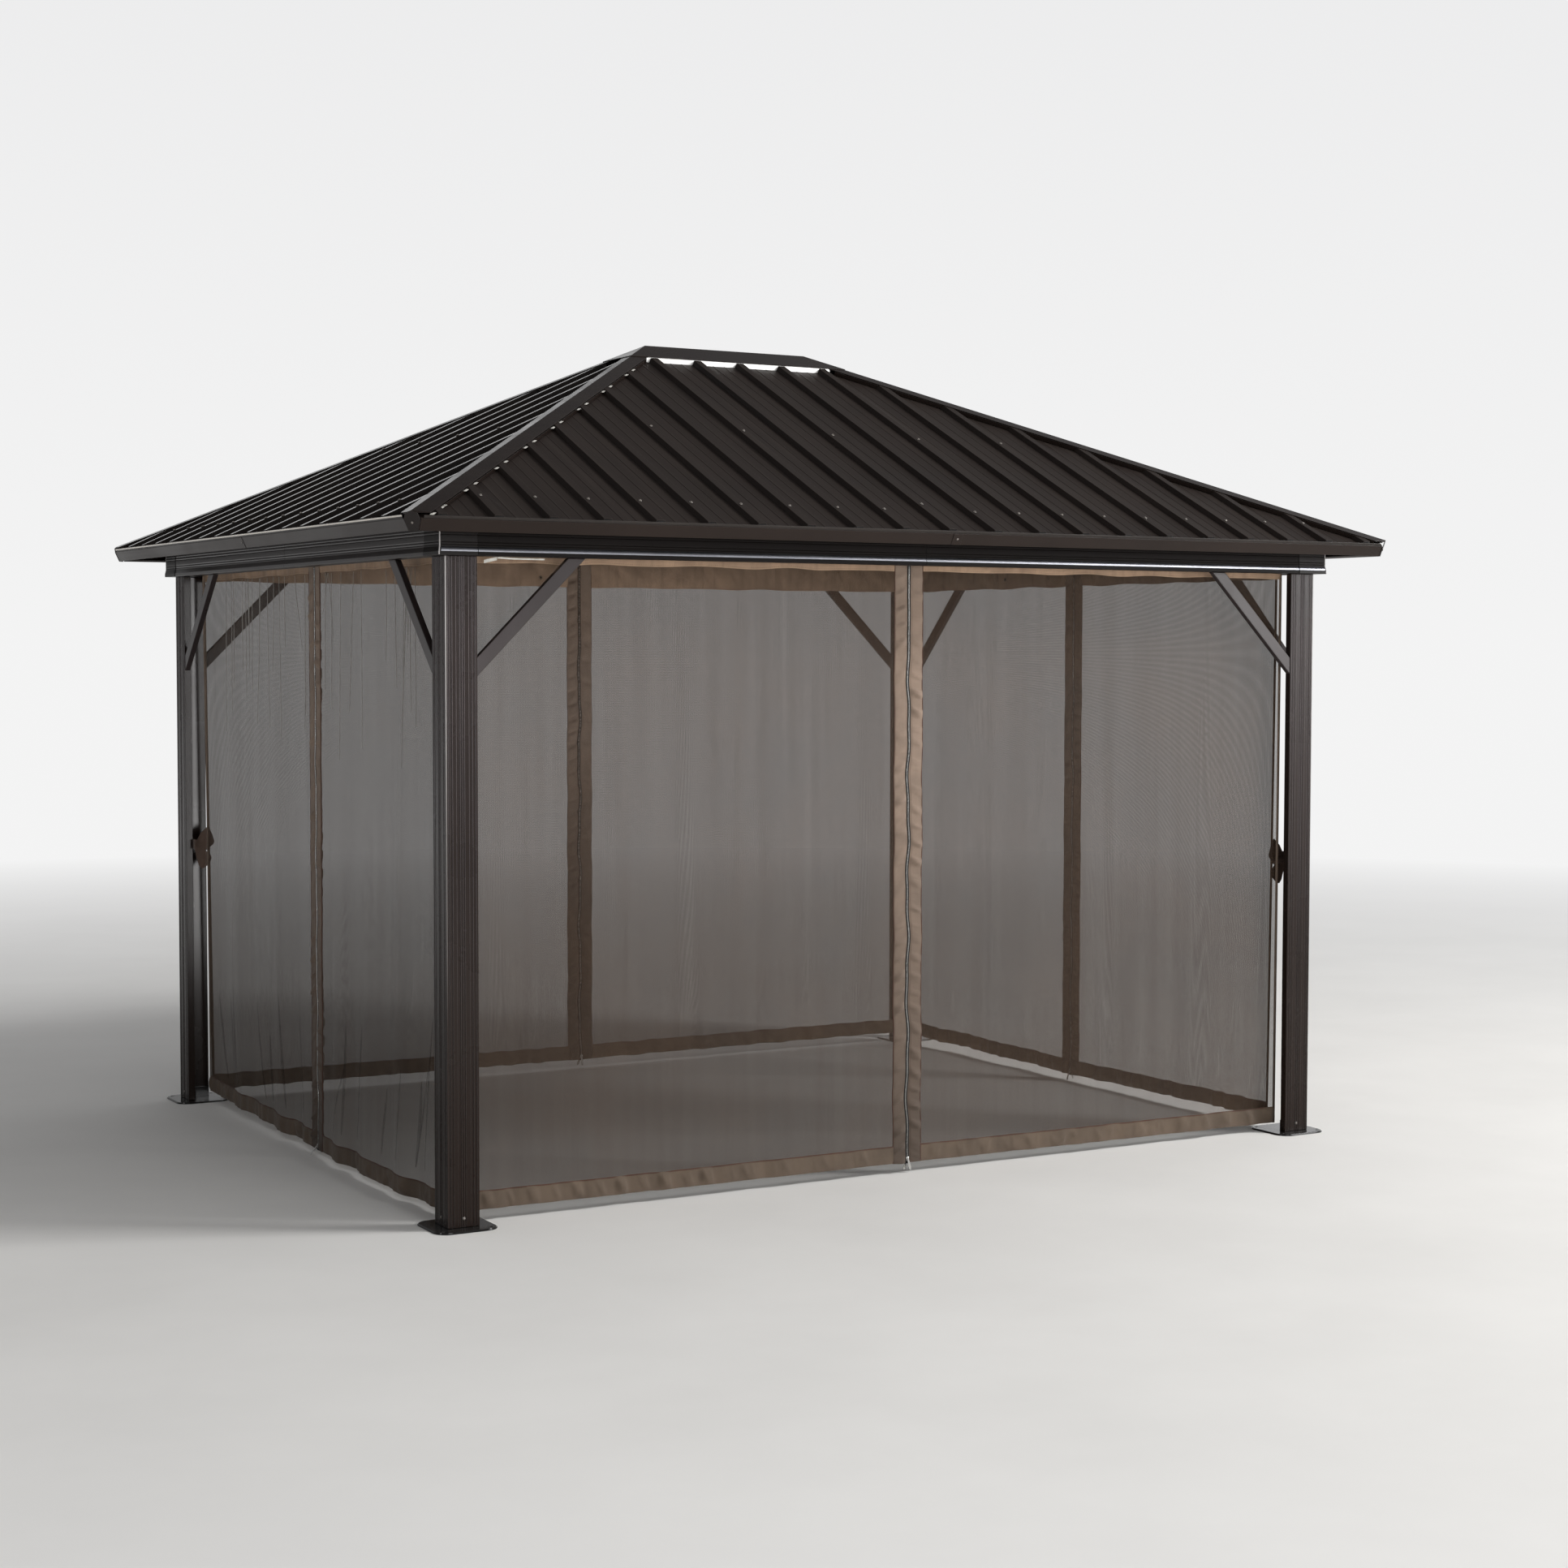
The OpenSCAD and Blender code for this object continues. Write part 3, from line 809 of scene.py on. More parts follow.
@dataclass
class RoofDressing:
    """Screws, end closures and joint hardware on the hipped roof."""

    finishes: Finishes
    half_l: float = 1.815
    half_w: float = 1.490
    eave_z: float = 2.054
    pitch: float = math.radians(25)
    rib_pitch: float = 0.171
    rib_h: float = 0.015
    rib_base: float = 0.042
    rib_top: float = 0.026
    hip_w: float = 0.045
    under_cap: float = 0.0024
    corner_cut: float = 0.035
    fascia_in: float = 0.0012
    eave_row: dict[bool, float] = field(default_factory=lambda: {True: 0.145, False: 0.130})
    purlin_row: float = 0.745
    joint_screw: float = 0.018
    cap_top: float = 1.370
    plate_foot: float = 0.012
    plate_t: float = 0.0014
    plate_gap: float = 0.0009
    tab_l: float = 0.013
    tab_out: float = 0.008
    tab_under: float = 0.004
    tab_low: float = 0.0034
    tab_high: float = 0.0020
    corner_tab: tuple[float, float] = (0.036, 0.040)
    plug_from: float = 0.0075
    plug_to: float = 0.034
    plug_clear: float = 0.07
    lip_end: float = 0.012
    sleeve_low: float = -0.0345
    sleeve_high: float = 0.0024
    sleeve_rise: float = 0.037

    @property
    def cap_inset(self) -> float:
        """Distance along an eave from a hip to what stands under its cap's edge."""
        return self.hip_w * math.sqrt(2) - self.under_cap

    def reach(self, side: Side) -> float:
        """Distance from the middle to a side's eave."""
        return self.half_w if side.is_long else self.half_l

    def span(self, side: Side) -> float:
        """Half the length of a side's eave."""
        return self.half_l if side.is_long else self.half_w

    def normal(self, side: Side) -> np.ndarray:
        """Direction square to a side's slope."""
        return side.out * math.sin(self.pitch) + UP * math.cos(self.pitch)

    def trim_face(self, side: Side) -> np.ndarray:
        """Direction that a side's eave trim faces."""
        return side.out * math.cos(self.pitch) - UP * math.sin(self.pitch)

    def point(self, side: Side, s: float, d: float, lift: float = 0.0) -> np.ndarray:
        """A place on a side's slope.

        Args:
            side: the side.
            s: distance along it from the middle.
            d: distance in from the eave, in plan.
            lift: height above the sheet, square to the slope.

        Returns:
            The place, in the frame.
        """
        plan = side.along * s + side.out * (self.reach(side) - d)
        return plan + UP * (self.eave_z + d * math.tan(self.pitch)) + self.normal(side) * lift

    def ribs(self, side: Side) -> list[float]:
        """Places of a side's ribs along it."""
        shift = 0.0 if side.is_long else 0.5
        places = [(i + shift) * self.rib_pitch for i in range(-11, 12)]
        return [s for s in places if abs(s) < self.span(side) - 0.05]

    def clear(self, side: Side, s: float, d: float) -> bool:
        """True if a screw at a place on a slope stays off the hip cap."""
        return abs(s) + d + self.hip_w * math.sqrt(2) + 0.03 < self.span(side)

    def screws(self, side: Side) -> None:
        """Adds the screws on the ribs of a side, over the eave rail and over the purlin."""
        draft, screw = Draft(f"roof_screws_{side.label}"), Screw(0.0062, 0.0056, 0.0038, 0.0042)
        for i, s in enumerate(self.ribs(side)):
            row = self.eave_row[side.is_long] + (0.05 if abs(s) < 0.01 else 0.0)
            rows = [row] + ([self.purlin_row] if i % 2 == 0 else [])
            for d in rows:
                if self.clear(side, s, d):
                    screw.add_to(draft, self.point(side, s, d, self.rib_h), self.normal(side))
        draft.build([self.finishes.stud, self.finishes.rubber], "closure_metal")

    def flank(self, lift: float) -> float:
        """Half the width of a rib at a height above the sheet."""
        return self.rib_base / 2 - (self.rib_base - self.rib_top) / 2 * lift / self.rib_h

    def plate(self, draft: Draft, side: Side, end: int, shape: Outline) -> None:
        """Adds a thin plate that stands under the edge of a hip cap.

        Args:
            draft: the piece.
            side: the side whose slope it stands on.
            end: sign of the hip along the side.
            shape: corners, as plan distance from the eave and height above the sheet.
        """
        edge = self.span(side) - self.cap_inset
        rings = [[self.point(side, end * (edge - d + deep), d, lift) for d, lift in shape]
                 for deep in (0.0, self.plate_t)]
        draft.tube(np.array(rings))

    def tab(self, draft: Draft, side: Side, d: float, length: float) -> None:
        """Adds a pale tab that lies under the edge of the hip cap at a side's left end.

        Args:
            draft: the piece.
            side: the side.
            d: plan distance from the eave to its lower end.
            length: its length along the cap, in plan.
        """
        edge = self.cap_inset - self.span(side)
        corners = [(d, -self.tab_under), (d + length, -self.tab_under), (d + length, self.tab_out),
                   (d, self.tab_out)]
        rings = [[self.point(side, along + out + edge, along, self.rib_h - drop) for along, out in corners]
                 for drop in (self.tab_low, self.tab_high)]
        draft.tube(np.array(rings), 1)

    def closures(self, side: Side) -> None:
        """Adds the turned-down edges of both hip caps on a side, and the tabs at a long side's left end."""
        draft = Draft(f"hip_closures_{side.label}")
        low, high, gap = 0.0006, self.rib_h - 0.0003, self.plate_gap
        for end in (-1, 1):
            ribs = sorted(self.span(side) - self.cap_inset - abs(s) for s in self.ribs(side) if s * end > 0)
            ribs = [d for d in ribs if 0.02 < d < self.cap_top]
            for before, after in zip([None] + ribs, ribs + [None]):
                shape = [(self.plate_foot, high), (self.plate_foot, low)] if before is None else [
                    (before + self.flank(h) + gap, h) for h in (high, low)]
                shape += [(self.cap_top, low), (self.cap_top, high)] if after is None else [
                    (after - self.flank(h) - gap, h) for h in (low, high)]
                self.plate(draft, side, end, shape)
            if end < 0 and side.is_long:
                half = self.flank(self.rib_h - self.tab_low) + gap
                for d in ribs:
                    self.tab(draft, side, d + half, self.tab_l)
                    self.tab(draft, side, d - half - self.tab_out - self.tab_l, self.tab_l)
                self.tab(draft, side, *self.corner_tab)
        draft.build([self.finishes.hip, self.finishes.track], "closure_metal", soft=False)

    def rib_plugs(self, side: Side) -> None:
        """Adds the dark plugs that close the ribs at the eave of a side."""
        draft = Draft(f"rib_plugs_{side.label}")
        wide, narrow = self.rib_base / 2 - 0.0022, self.rib_top / 2 - 0.0016
        low, high = -0.0019, self.rib_h - 0.0024
        section = [(-wide, low), (wide, low), (narrow, high), (-narrow, high)]
        for s in self.ribs(side):
            if self.span(side) - abs(s) < self.plug_to + self.plug_clear:
                continue
            rings = [[self.point(side, s + w, d, lift) for w, lift in section]
                     for d in (self.plug_from, self.plug_to)]
            draft.tube(np.array(rings))
        draft.build([self.finishes.rubber], "trim_paint", soft=False)

    def eave_lip(self, side: Side) -> None:
        """Adds the folded lip that stands along the eave of a side and closes the ends of the ribs; on the
        short sides a rolled top runs along it, near-white as a painted highlight.
        """
        draft = Draft(f"eave_lip_{side.label}")
        reach = self.span(side) - self.corner_cut - self.lip_end
        strip = [(0.0032, 0.0005), (0.0032, 0.0110), (0.0036, 0.0116), (0.0042, 0.0116), (0.0045, 0.0110),
                 (0.0045, 0.0005)]
        roll = [(0.0029, 0.0084), (0.0026, 0.0106), (0.0029, 0.0128), (0.0040, 0.0134), (0.0047, 0.0126),
                (0.0047, 0.0084)]
        for slot, shape in enumerate([strip] if side.is_long else [strip, roll]):
            rings = [[self.point(side, s, d, lift) for d, lift in shape] for s in (-reach, reach)]
            draft.tube(np.array(rings), slot)
        draft.build([self.finishes.lip_long, self.finishes.lip_short_highlight], "trim_paint", soft=False)

    def trim_screws(self) -> None:
        """Adds a screw beside each joint in the eave trim and one in each corner cap."""
        draft = Draft("trim_screws")
        small = Screw(0.0042, 0.0036, 0.0025, 0.0026)
        for side in Side:
            at = self.point(side, self.joint_screw, self.fascia_in, -0.015)
            small.add_to(draft, at, self.trim_face(side))
        tilt = math.atan(math.tan(self.pitch) / math.sqrt(2))
        for corner in Corner:
            out = np.array([*corner.value, 0.0]) / math.sqrt(2)
            foot = np.array([corner.value[0] * self.half_l, corner.value[1] * self.half_w, self.eave_z])
            face = out * math.cos(tilt) - UP * math.sin(tilt)
            rise = UP * math.cos(tilt) + out * math.sin(tilt)
            small.add_to(draft, foot - out * self.corner_cut / math.sqrt(2) - rise * 0.009, face)
        draft.build([self.finishes.stud, self.finishes.rubber], "closure_metal")

    def joint_covers(self) -> None:
        """Adds the folded sleeve that laps over each joint in the eave trim."""
        draft = Draft("trim_sleeves")
        low, high, near, far = self.sleeve_low, self.sleeve_high, 0.00015, 0.0009
        for side in Side:
            rings = []
            for s, slant in ((-0.0015, 0.004), (0.0345, 0.0)):
                ring = []
                for lift, deep in ((low, near), (high, near), (high, far), (low, far)):
                    along = s + slant * (lift - low) / self.sleeve_rise
                    ring.append(self.point(side, along, self.fascia_in, lift) + self.trim_face(side) * deep)
                rings.append(ring)
            draft.tube(np.array(rings))
        draft.build([self.finishes.trim], "trim_paint", soft=False)

    def build(self) -> None:
        """Builds every piece on the roof."""
        for side in Side:
            self.screws(side)
            self.closures(side)
            self.rib_plugs(side)
            self.eave_lip(side)
        self.trim_screws()
        self.joint_covers()


@dataclass
class FrameHardware:
    """Screws, beads and flute lines on the posts, strips on the long beams and a loose end of track."""

    finishes: Finishes
    post_x: float = 1.630
    post_y: float = 1.305
    leg_w: float = 0.100
    screw_z: float = 0.033
    bead_foot: float = 0.010
    flute_foot: float = 0.012
    post_head: float = 1.9622
    post_bead: float = 0.0022
    beam_bead: float = 0.0020
    bead_depth: float = 0.74
    beam_out: float = 1.335
    beam_end: float = 1.5392
    lip_z: float = 1.974
    strip_h: float = 0.014
    strip_in: float = 0.003
    strip_gap: float = 0.0012
    strip_stop: float = 0.0070
    corner_x: float = 1.6615
    corner_y: float = 1.3365
    flutes: tuple[float, ...] = (0.045, 0.09, 0.18, 0.30, 0.42, 0.49, 0.56, 0.70, 0.81, 0.91)
    flute_in: float = 0.0020
    flute_w: float = 0.0014
    flute_lift: float = 0.0003

    def foot_screws(self) -> None:
        """Adds a screw in the middle of each outer face of each post."""
        draft, screw = Draft("post_screws"), Screw(0.0056, 0.0044, 0.0030, 0.0032)
        middle = self.leg_w / 2
        for corner in Corner:
            sx, sy = corner.value
            screw.add_to(draft, np.array([sx * self.post_x, sy * (self.post_y - middle), self.screw_z]),
                         np.array([sx, 0.0, 0.0]))
            screw.add_to(draft, np.array([sx * (self.post_x - middle), sy * self.post_y, self.screw_z]),
                         np.array([0.0, sy, 0.0]))
        draft.build([self.finishes.stud, self.finishes.rubber], "closure_metal")

    def corner_edges(self) -> None:
        """Adds the rounded bead on the outer edge of each post and of each beam corner, pale as a painted
        highlight.
        """
        draft = Draft("corner_edges")
        post_line = [(0.0, z) for z in np.linspace(self.bead_foot, self.post_head, 14)]
        beam_line = [(0.0, 1.9645), (0.0, 1.9735), (0.003, 1.9885), (0.003, 2.0560)]
        turn = around(14)
        for corner in Corner:
            sign = np.array([*corner.value, 0.0])
            for line, x, y, r in ((post_line, self.post_x, self.post_y, self.post_bead),
                                  (beam_line, self.corner_x, self.corner_y, self.beam_bead)):
                section = np.stack([r * np.cos(turn), r * np.sin(turn), 0 * turn], axis=1)
                inside = self.bead_depth * r
                places = [sign * np.array([x - inside - back, y - inside - back, 0.0]) + UP * z
                          for back, z in line]
                draft.bar(np.array(places), section)
        draft.build([self.finishes.edge], "post_paint")

    def flute_lines(self) -> None:
        """Adds the fine raised line beside each groove on the two outer faces of each post, pale as a painted
        highlight.
        """
        draft = Draft("post_flutes")
        heights = (self.flute_foot, self.post_head)
        for corner in Corner:
            sx, sy = corner.value
            for share in self.flutes:
                start = share * self.leg_w + self.flute_in
                end, lift = start + self.flute_w, self.flute_lift
                section = [(start, -lift), (start, lift), (end, lift), (end, -lift)]
                plans = [[(self.post_x - run, self.post_y + out) for run, out in section],
                         [(self.post_x + out, self.post_y - run) for run, out in section]]
                for plan in plans:
                    draft.tube(np.array([[(sx * x, sy * y, z) for x, y in plan] for z in heights]))
        draft.build([self.finishes.flute], "post_paint", soft=False)

    def strips(self, side: Side) -> None:
        """Adds the lengths of bright strip on the sloped foot of a long beam and of its corner pieces."""
        draft = Draft(f"beam_strip_{side.label}")
        slope = UP * self.strip_h - side.out * self.strip_in
        face = unit(side.out * self.strip_h + UP * self.strip_in)
        shape = [(0.04, 0.0001), (0.96, 0.0001), (0.97, 0.0004), (0.9, 0.0009), (0.5, 0.0011), (0.1, 0.0009),
                 (0.03, 0.0004)]
        section = np.array([slope * share + face * lift for share, lift in shape])
        foot = side.out * self.beam_out + UP * self.lip_z
        proud = foot + side.out * (self.corner_y - self.beam_out)
        for hand in (-1, 1):
            ahead = side.along * hand
            run = np.linspace(self.strip_gap, self.beam_end - self.strip_gap, 12)
            draft.bar(np.array([foot + ahead * s for s in run]), section)
            ends = (self.beam_end + self.strip_gap, self.corner_x - self.strip_stop)
            draft.bar(np.array([proud + ahead * s for s in ends]), section)
        draft.build([self.finishes.strip], "closure_metal")

    def loose_track(self) -> None:
        """Adds the short pale end of track that shows under the front beam."""
        draft = Draft("track_end")
        lines = [
            (2.0, [(-1.4990, 1.9535), (-1.4850, 1.9568), (-1.4710, 1.9600), (-1.4580, 1.9628)]),
            (1.0, [(-1.4560, 1.9626), (-1.4400, 1.9622), (-1.4200, 1.9610), (-1.3800, 1.9604),
                   (-1.3060, 1.9604)]),
        ]
        for tall, line in lines:
            fold = [(-1.2865, 0.0), (-1.2825, -0.0002), (-1.2822, -0.0048 * tall), (-1.2836, -0.0050 * tall),
                    (-1.2840, -0.0012), (-1.2866, -0.0010)]
            draft.tube(np.array([[(x, y, top + drop) for y, drop in fold] for x, top in line]))
        draft.build([self.finishes.track], "rail_metal")

    def build(self) -> None:
        """Builds every piece on the posts and beams."""
        self.foot_screws()
        self.corner_edges()
        self.flute_lines()
        for side in (Side.FRONT, Side.BACK):
            self.strips(side)
        self.loose_track()


@dataclass
class NetPanel:
    """One half of a net wall: netting with a top band, a border at the zip, a hem and a bound outer edge."""

    side: Side
    hand: int
    width: float
    plane: float
    hem_near: float
    hem_far: float
    pull_in: float
    fold: float
    ruffle: float
    bulge: float
    seed: int
    creases: int
    pleats: int
    top: float = 2.0442
    zip_gap: float = 0.0072
    border_w: float = 0.048
    band_h: float = 0.098
    eyelet_drop: float = 0.061
    hem_h: float = 0.057
    bind_w: float = 0.011
    piping_w: float = 0.0028
    cloth_t: float = 0.0009
    seam_t: float = 0.0011
    border_t: float = 0.0014
    rim_t: float = 0.0016
    piping_t: float = 0.0019
    stitch: float = 0.0075

    def __post_init__(self) -> None:
        """Draws the panel's own wave lengths, phases and drifts."""
        self.draw = np.random.default_rng(self.seed)
        self.long = self.drawn(6, (0.16, 0.55), (-1.2, 1.2))
        self.short = self.drawn(6, (0.045, 0.11), (-2.5, 2.5))
        self.tiny = self.drawn(5, (0.022, 0.05), (-14, 14))
        self.slack = self.drawn(3, (0.07, 0.18), (-60, 60))
        self.pucker = self.drawn(3, (0.09, 0.3), (60, 130))

    def drawn(self, count: int, lengths: tuple[float, float], drifts: tuple[float, float]) -> list[Triple]:
        """Draws waves at random.

        Args:
            count: number of waves.
            lengths: least and greatest wave length.
            drifts: least and greatest drift with height.

        Returns:
            Wave length, phase and drift of each wave.
        """
        return [(w, self.draw.uniform(0, 6.28), self.draw.uniform(*drifts))
                for w in self.draw.uniform(*lengths, count)]

    @property
    def name(self) -> str:
        """Name of the panel, as its side and its hand seen from outside."""
        return f"{self.side.label}_{'right' if self.hand > 0 else 'left'}"

    @staticmethod
    def waves(parts: list[Triple], t: np.ndarray, z: np.ndarray) -> np.ndarray:
        """Sums waves along the cloth.

        Args:
            parts: wave length, phase and drift with height of each wave.
            t: distance from the zip.
            z: height.

        Returns:
            The sum, mostly between -1 and 1.
        """
        total = sum(np.sin(TURN * t / w + phase + drift * z) for w, phase, drift in parts)
        return total / math.sqrt(len(parts)) * 0.8

    @staticmethod
    def creased(parts: list[Triple], t: np.ndarray, z: np.ndarray) -> np.ndarray:
        """Sums sharp folds along the cloth, in the same terms as the waves."""
        folds = (np.sin(math.pi * t / w + phase + 0.5 * drift * z) for w, phase, drift in parts)
        return sum(1 - 2 * np.abs(fold) for fold in folds) / 2

    def hem_z(self, t: np.ndarray) -> np.ndarray:
        """Height of the hem's lower edge at a distance from the zip."""
        share = t / self.width
        level = self.hem_near + (self.hem_far - self.hem_near) * share
        return level + 0.35 * self.ruffle * self.waves(self.short, 0.6 * t, 0 * t) * smooth(t / 0.2)

    def depth(self, t: np.ndarray, z: np.ndarray) -> np.ndarray:
        """How far the cloth stands out from its plane."""
        low = np.clip((self.top - z) / self.top, 0, 1)
        ease = 0.12 + 0.88 * smooth((t - 0.05) / 0.16)
        end = 0.3 + 0.7 * smooth((self.width - t) / 0.12)
        wide = self.fold * (0.2 + 0.8 * low) * self.waves(self.long, t, z)
        fine = self.waves(self.short, t, z)
        gather = 0.0012 * np.exp(-np.clip(self.top - self.band_h - z, 0, None) / 0.22) * fine
        ruffled = self.ruffle * np.exp(-np.clip(z - self.hem_z(t), 0, None) / 0.14) * fine
        belly = self.bulge * np.sin(math.pi * np.clip(t / self.width, 0, 1)) * low ** 2
        return ease * end * (wide + gather + ruffled) + belly

    def surface(self, t: np.ndarray, z: np.ndarray) -> np.ndarray:
        """Places of the cloth.

        Args:
            t: distance from the zip, flat.
            z: height.

        Returns:
            Points in the frame.
        """
        low = np.clip((self.top - z) / self.top, 0, 1)
        s = self.hand * t * (1 - self.pull_in / self.width * low ** 1.3)
        loose = 1 - 0.65 * smooth(t / self.border_w) - 0.35 * smooth((t - self.border_w) / 0.3)
        s = s + zip_sway(self.side, z) * loose
        out = self.plane + self.depth(t, z)
        return s[..., None] * self.side.along + out[..., None] * self.side.out + z[..., None] * UP

    def normals(self, t: np.ndarray, z: np.ndarray) -> np.ndarray:
        """Directions square to the cloth, on its outer side."""
        step = 0.0015
        du = self.surface(t + step, z) - self.surface(t - step, z)
        dv = self.surface(t, z + step) - self.surface(t, z - step)
        return unit(np.cross(du, dv) * self.hand)

    def doubled(self, draft: Draft, t: np.ndarray, z: np.ndarray, half_t: float, slot: int,
                crease: float = 0.0, parts: list[Triple] | None = None) -> None:
        """Adds a doubled strip of cloth that wraps the netting on both faces.

        Args:
            draft: the piece.
            t: distances from the zip, with rows along the strip and columns across it.
            z: heights, in the same layout.
            half_t: half its thickness.
            slot: index of the finish.
            crease: depth of its small creases.
            parts: waves of its creases, if not the smallest ones.
        """
        across = np.linspace(-1, 1, t.shape[1])
        half = half_t * (0.35 + 0.65 * np.sqrt(np.clip(1 - across ** 6, 0, 1)))
        uneven = 0.45 + 0.55 * np.sin(3.1 * t + 5.3 * z + self.seed) ** 2
        deep = crease * (1 - across ** 2) * uneven * (1 + 0.6 * np.exp(-z / 0.45))
        fold = self.creased(parts or self.tiny, t, z)
        middle, normal = self.surface(t, z), self.normals(t, z)
        outer = middle + normal * (half + deep * np.clip(0.5 + fold, 0, 1.2))[..., None]
        inner = middle - normal * (half + deep * np.clip(0.5 - fold, 0, 1.2))[..., None]
        draft.tube(np.concatenate([outer, inner[:, ::-1]], axis=1), slot)

    def stitches(self, draft: Draft, t: np.ndarray, z: np.ndarray, half_t: float, slot: int) -> None:
        """Adds a row of stitches on both faces of the cloth.

        Args:
            draft: the piece.
            t: distances from the zip along the seam.
            z: heights along the seam.
            half_t: half the cloth's thickness at the seam.
            slot: index of the finish.
        """
        line = self.surface(t, z)
        run = np.concatenate([[0.0], np.cumsum(np.linalg.norm(np.diff(line, axis=0), axis=1))])
        middles = np.arange(self.stitch, run[-1] - self.stitch, self.stitch)
        ts, zs = np.interp(middles, run, t), np.interp(middles, run, z)
        at, normal = self.surface(ts, zs), self.normals(ts, zs)
        ahead = unit(np.gradient(at, axis=0))
        beside = np.cross(normal, ahead)
        corners = ((0, 1, 4), (1, 2, 4), (2, 3, 4), (3, 0, 4), (3, 2, 1, 0))
        faces = [[5 * i + k for k in corner] for corner in corners for i in range(len(at))]
        for face in (1, -1):
            foot = at + normal * face * (half_t + 0.00015)
            parts = [foot - ahead * 0.0027, foot + beside * 0.0006, foot + ahead * 0.0027,
                     foot - beside * 0.0006, foot + normal * face * 0.0007]
            draft.add(np.stack(parts, axis=1), faces, slot)

    def band_low(self, t: np.ndarray) -> np.ndarray:
        """Height of the top band's lower edge, which sags between the eyelets."""
        sag = 0.002 * np.sin(TURN * t / 0.3 + self.seed) + 0.0014 * self.waves(self.long, t, 0 * t)
        return self.top - self.band_h + sag

    def rise(self, t: np.ndarray, share: np.ndarray, low: float, less: float) -> np.ndarray:
        """Heights on a line that runs up the cloth.

        Args:
            t: distances from the zip.
            share: shares of the way up.
            low: how far above the hem's lower edge the line starts.
            less: how much shorter than the cloth the line is.

        Returns:
            The heights.
        """
        hem = self.hem_z(t)
        return hem + low + (self.top - hem - less) * share

    def netting(self, finishes: Finishes) -> Object:
        """Builds the see-through cloth."""
        n, m = max(60, int(self.width / 0.0085)), 72
        share = np.linspace(0, 1, m)[None, :]
        share = share + 0.06 * np.sin(TURN * share) / TURN
        start, end = self.zip_gap + self.border_w - 0.004, self.width - 0.002
        t = np.linspace(start, end, n)[:, None] + 0 * share
        low, high = self.hem_z(t) + self.hem_h - 0.003, self.band_low(t) + 0.003
        draft = Draft(f"netting_{self.name}")
        draft.sheet(self.surface(t, low + (high - low) * share))
        return draft.build([finishes.net], "net_fabric")

    def borders(self, finishes: Finishes) -> Object:
        """Builds the doubled bands around the netting, with their stitching."""
        draft = Draft(f"net_border_{self.name}")
        border, hem, band, thread = range(4)
        inner = self.zip_gap + self.border_w
        along = np.linspace(inner - 0.002, self.width - 0.002, int(self.width / 0.006))[:, None]
        across = np.linspace(0, 1, 9)[None, :]
        thin = across[:, ::4]
        up = np.linspace(0.0, 1.0, 440)[:, None]
        hem_low, band_low = self.hem_z(along), self.band_low(along)
        t = along + 0 * across
        self.doubled(draft, t, hem_low + self.hem_h * across, self.cloth_t, hem, 0.0062, self.slack)
        rows = band_low + (self.top - band_low) * across
        self.doubled(draft, t, rows, self.cloth_t, band, 0.0078, self.slack)
        t = self.zip_gap - 0.0004 + self.border_w * across + 0 * up
        self.doubled(draft, t, self.rise(t, up, -0.0006, -0.0003), self.border_t, border, 0.0085, self.pucker)
        t = inner - 0.0033 + self.piping_w * thin + 0 * up
        self.doubled(draft, t, self.rise(t, up, 0.001, 0.002), self.piping_t, thread)
        rim = hem_low + self.hem_h - 0.0034 + self.piping_w * thin
        self.doubled(draft, along + 0 * thin, rim, self.rim_t, thread)
        t = self.width + 0.0004 - self.bind_w * across + 0 * up
        self.doubled(draft, t, self.rise(t, up, -0.0006, -0.0003), self.border_t, border, 0.0003)
        seam = np.linspace(inner, self.width - self.bind_w, 400)
        for heights in (self.hem_z(seam) + self.hem_h - 0.004, self.band_low(seam) + 0.005):
            self.stitches(draft, seam, heights, self.seam_t, thread)
        level = np.linspace(0.0, 1.0, 400)
        for place in (self.zip_gap + 0.004, inner - 0.0045):
            t = 0 * level + place
            self.stitches(draft, t, self.rise(t, level, 0.004, 0.008), self.rim_t, thread)
        return draft.build([finishes.border, finishes.hem, finishes.band, finishes.thread], "net_fabric")

    def fold_lines(self, finishes: Finishes) -> Object:
        """Builds the sharp folds: pale ones, painted as highlights, that hang from the top band and dark ones
        above the hem.
        """
        draft = Draft(f"net_folds_{self.name}")
        low, high, band = self.border_w + 0.04, self.width - 0.04, self.top - self.band_h
        lines = []
        for t in self.draw.uniform(low, high, self.creases):
            end = band - self.draw.uniform(0.12, 0.62)
            lines.append((t, t + self.draw.normal(0, 0.02), band - 0.004, end, 0.0010, 0))
        for t in self.draw.uniform(low + 0.05, high - 0.05, self.pleats):
            rise = self.draw.uniform(0.2, 0.48)
            lean = self.draw.uniform(0.02, 0.11)
            lines.append((t + lean, t, 0.11 + rise, 0.11, self.draw.uniform(0.005, 0.011), 1))
        share = np.linspace(0, 1, 40)
        for t0, t1, z0, z1, half, slot in lines:
            width = half * np.sin(math.pi * np.clip(0.04 + 0.92 * share, 0, 1)) ** 0.6 + 0.0002
            middle = t0 + (t1 - t0) * share + 0.004 * np.sin(3.1 * share + 40 * t0)
            t = middle[:, None] + width[:, None] * np.array([-1.0, 0.0, 1.0])
            z = (z0 + (z1 - z0) * share)[:, None] + 0 * t
            cloth, normal = self.surface(t, z), self.normals(t, z)
            if slot:
                draft.sheet(cloth + normal * 0.0012, slot)
                continue
            lift = np.array([0.0004, 0.0012, 0.0004])[None, :, None] * np.sqrt(width / half)[:, None, None]
            back = cloth - normal * 0.0004
            draft.tube(np.concatenate([cloth + normal * lift, back[:, ::-1]], axis=1))
        return draft.build([finishes.crease, finishes.net_fold], "net_fabric")

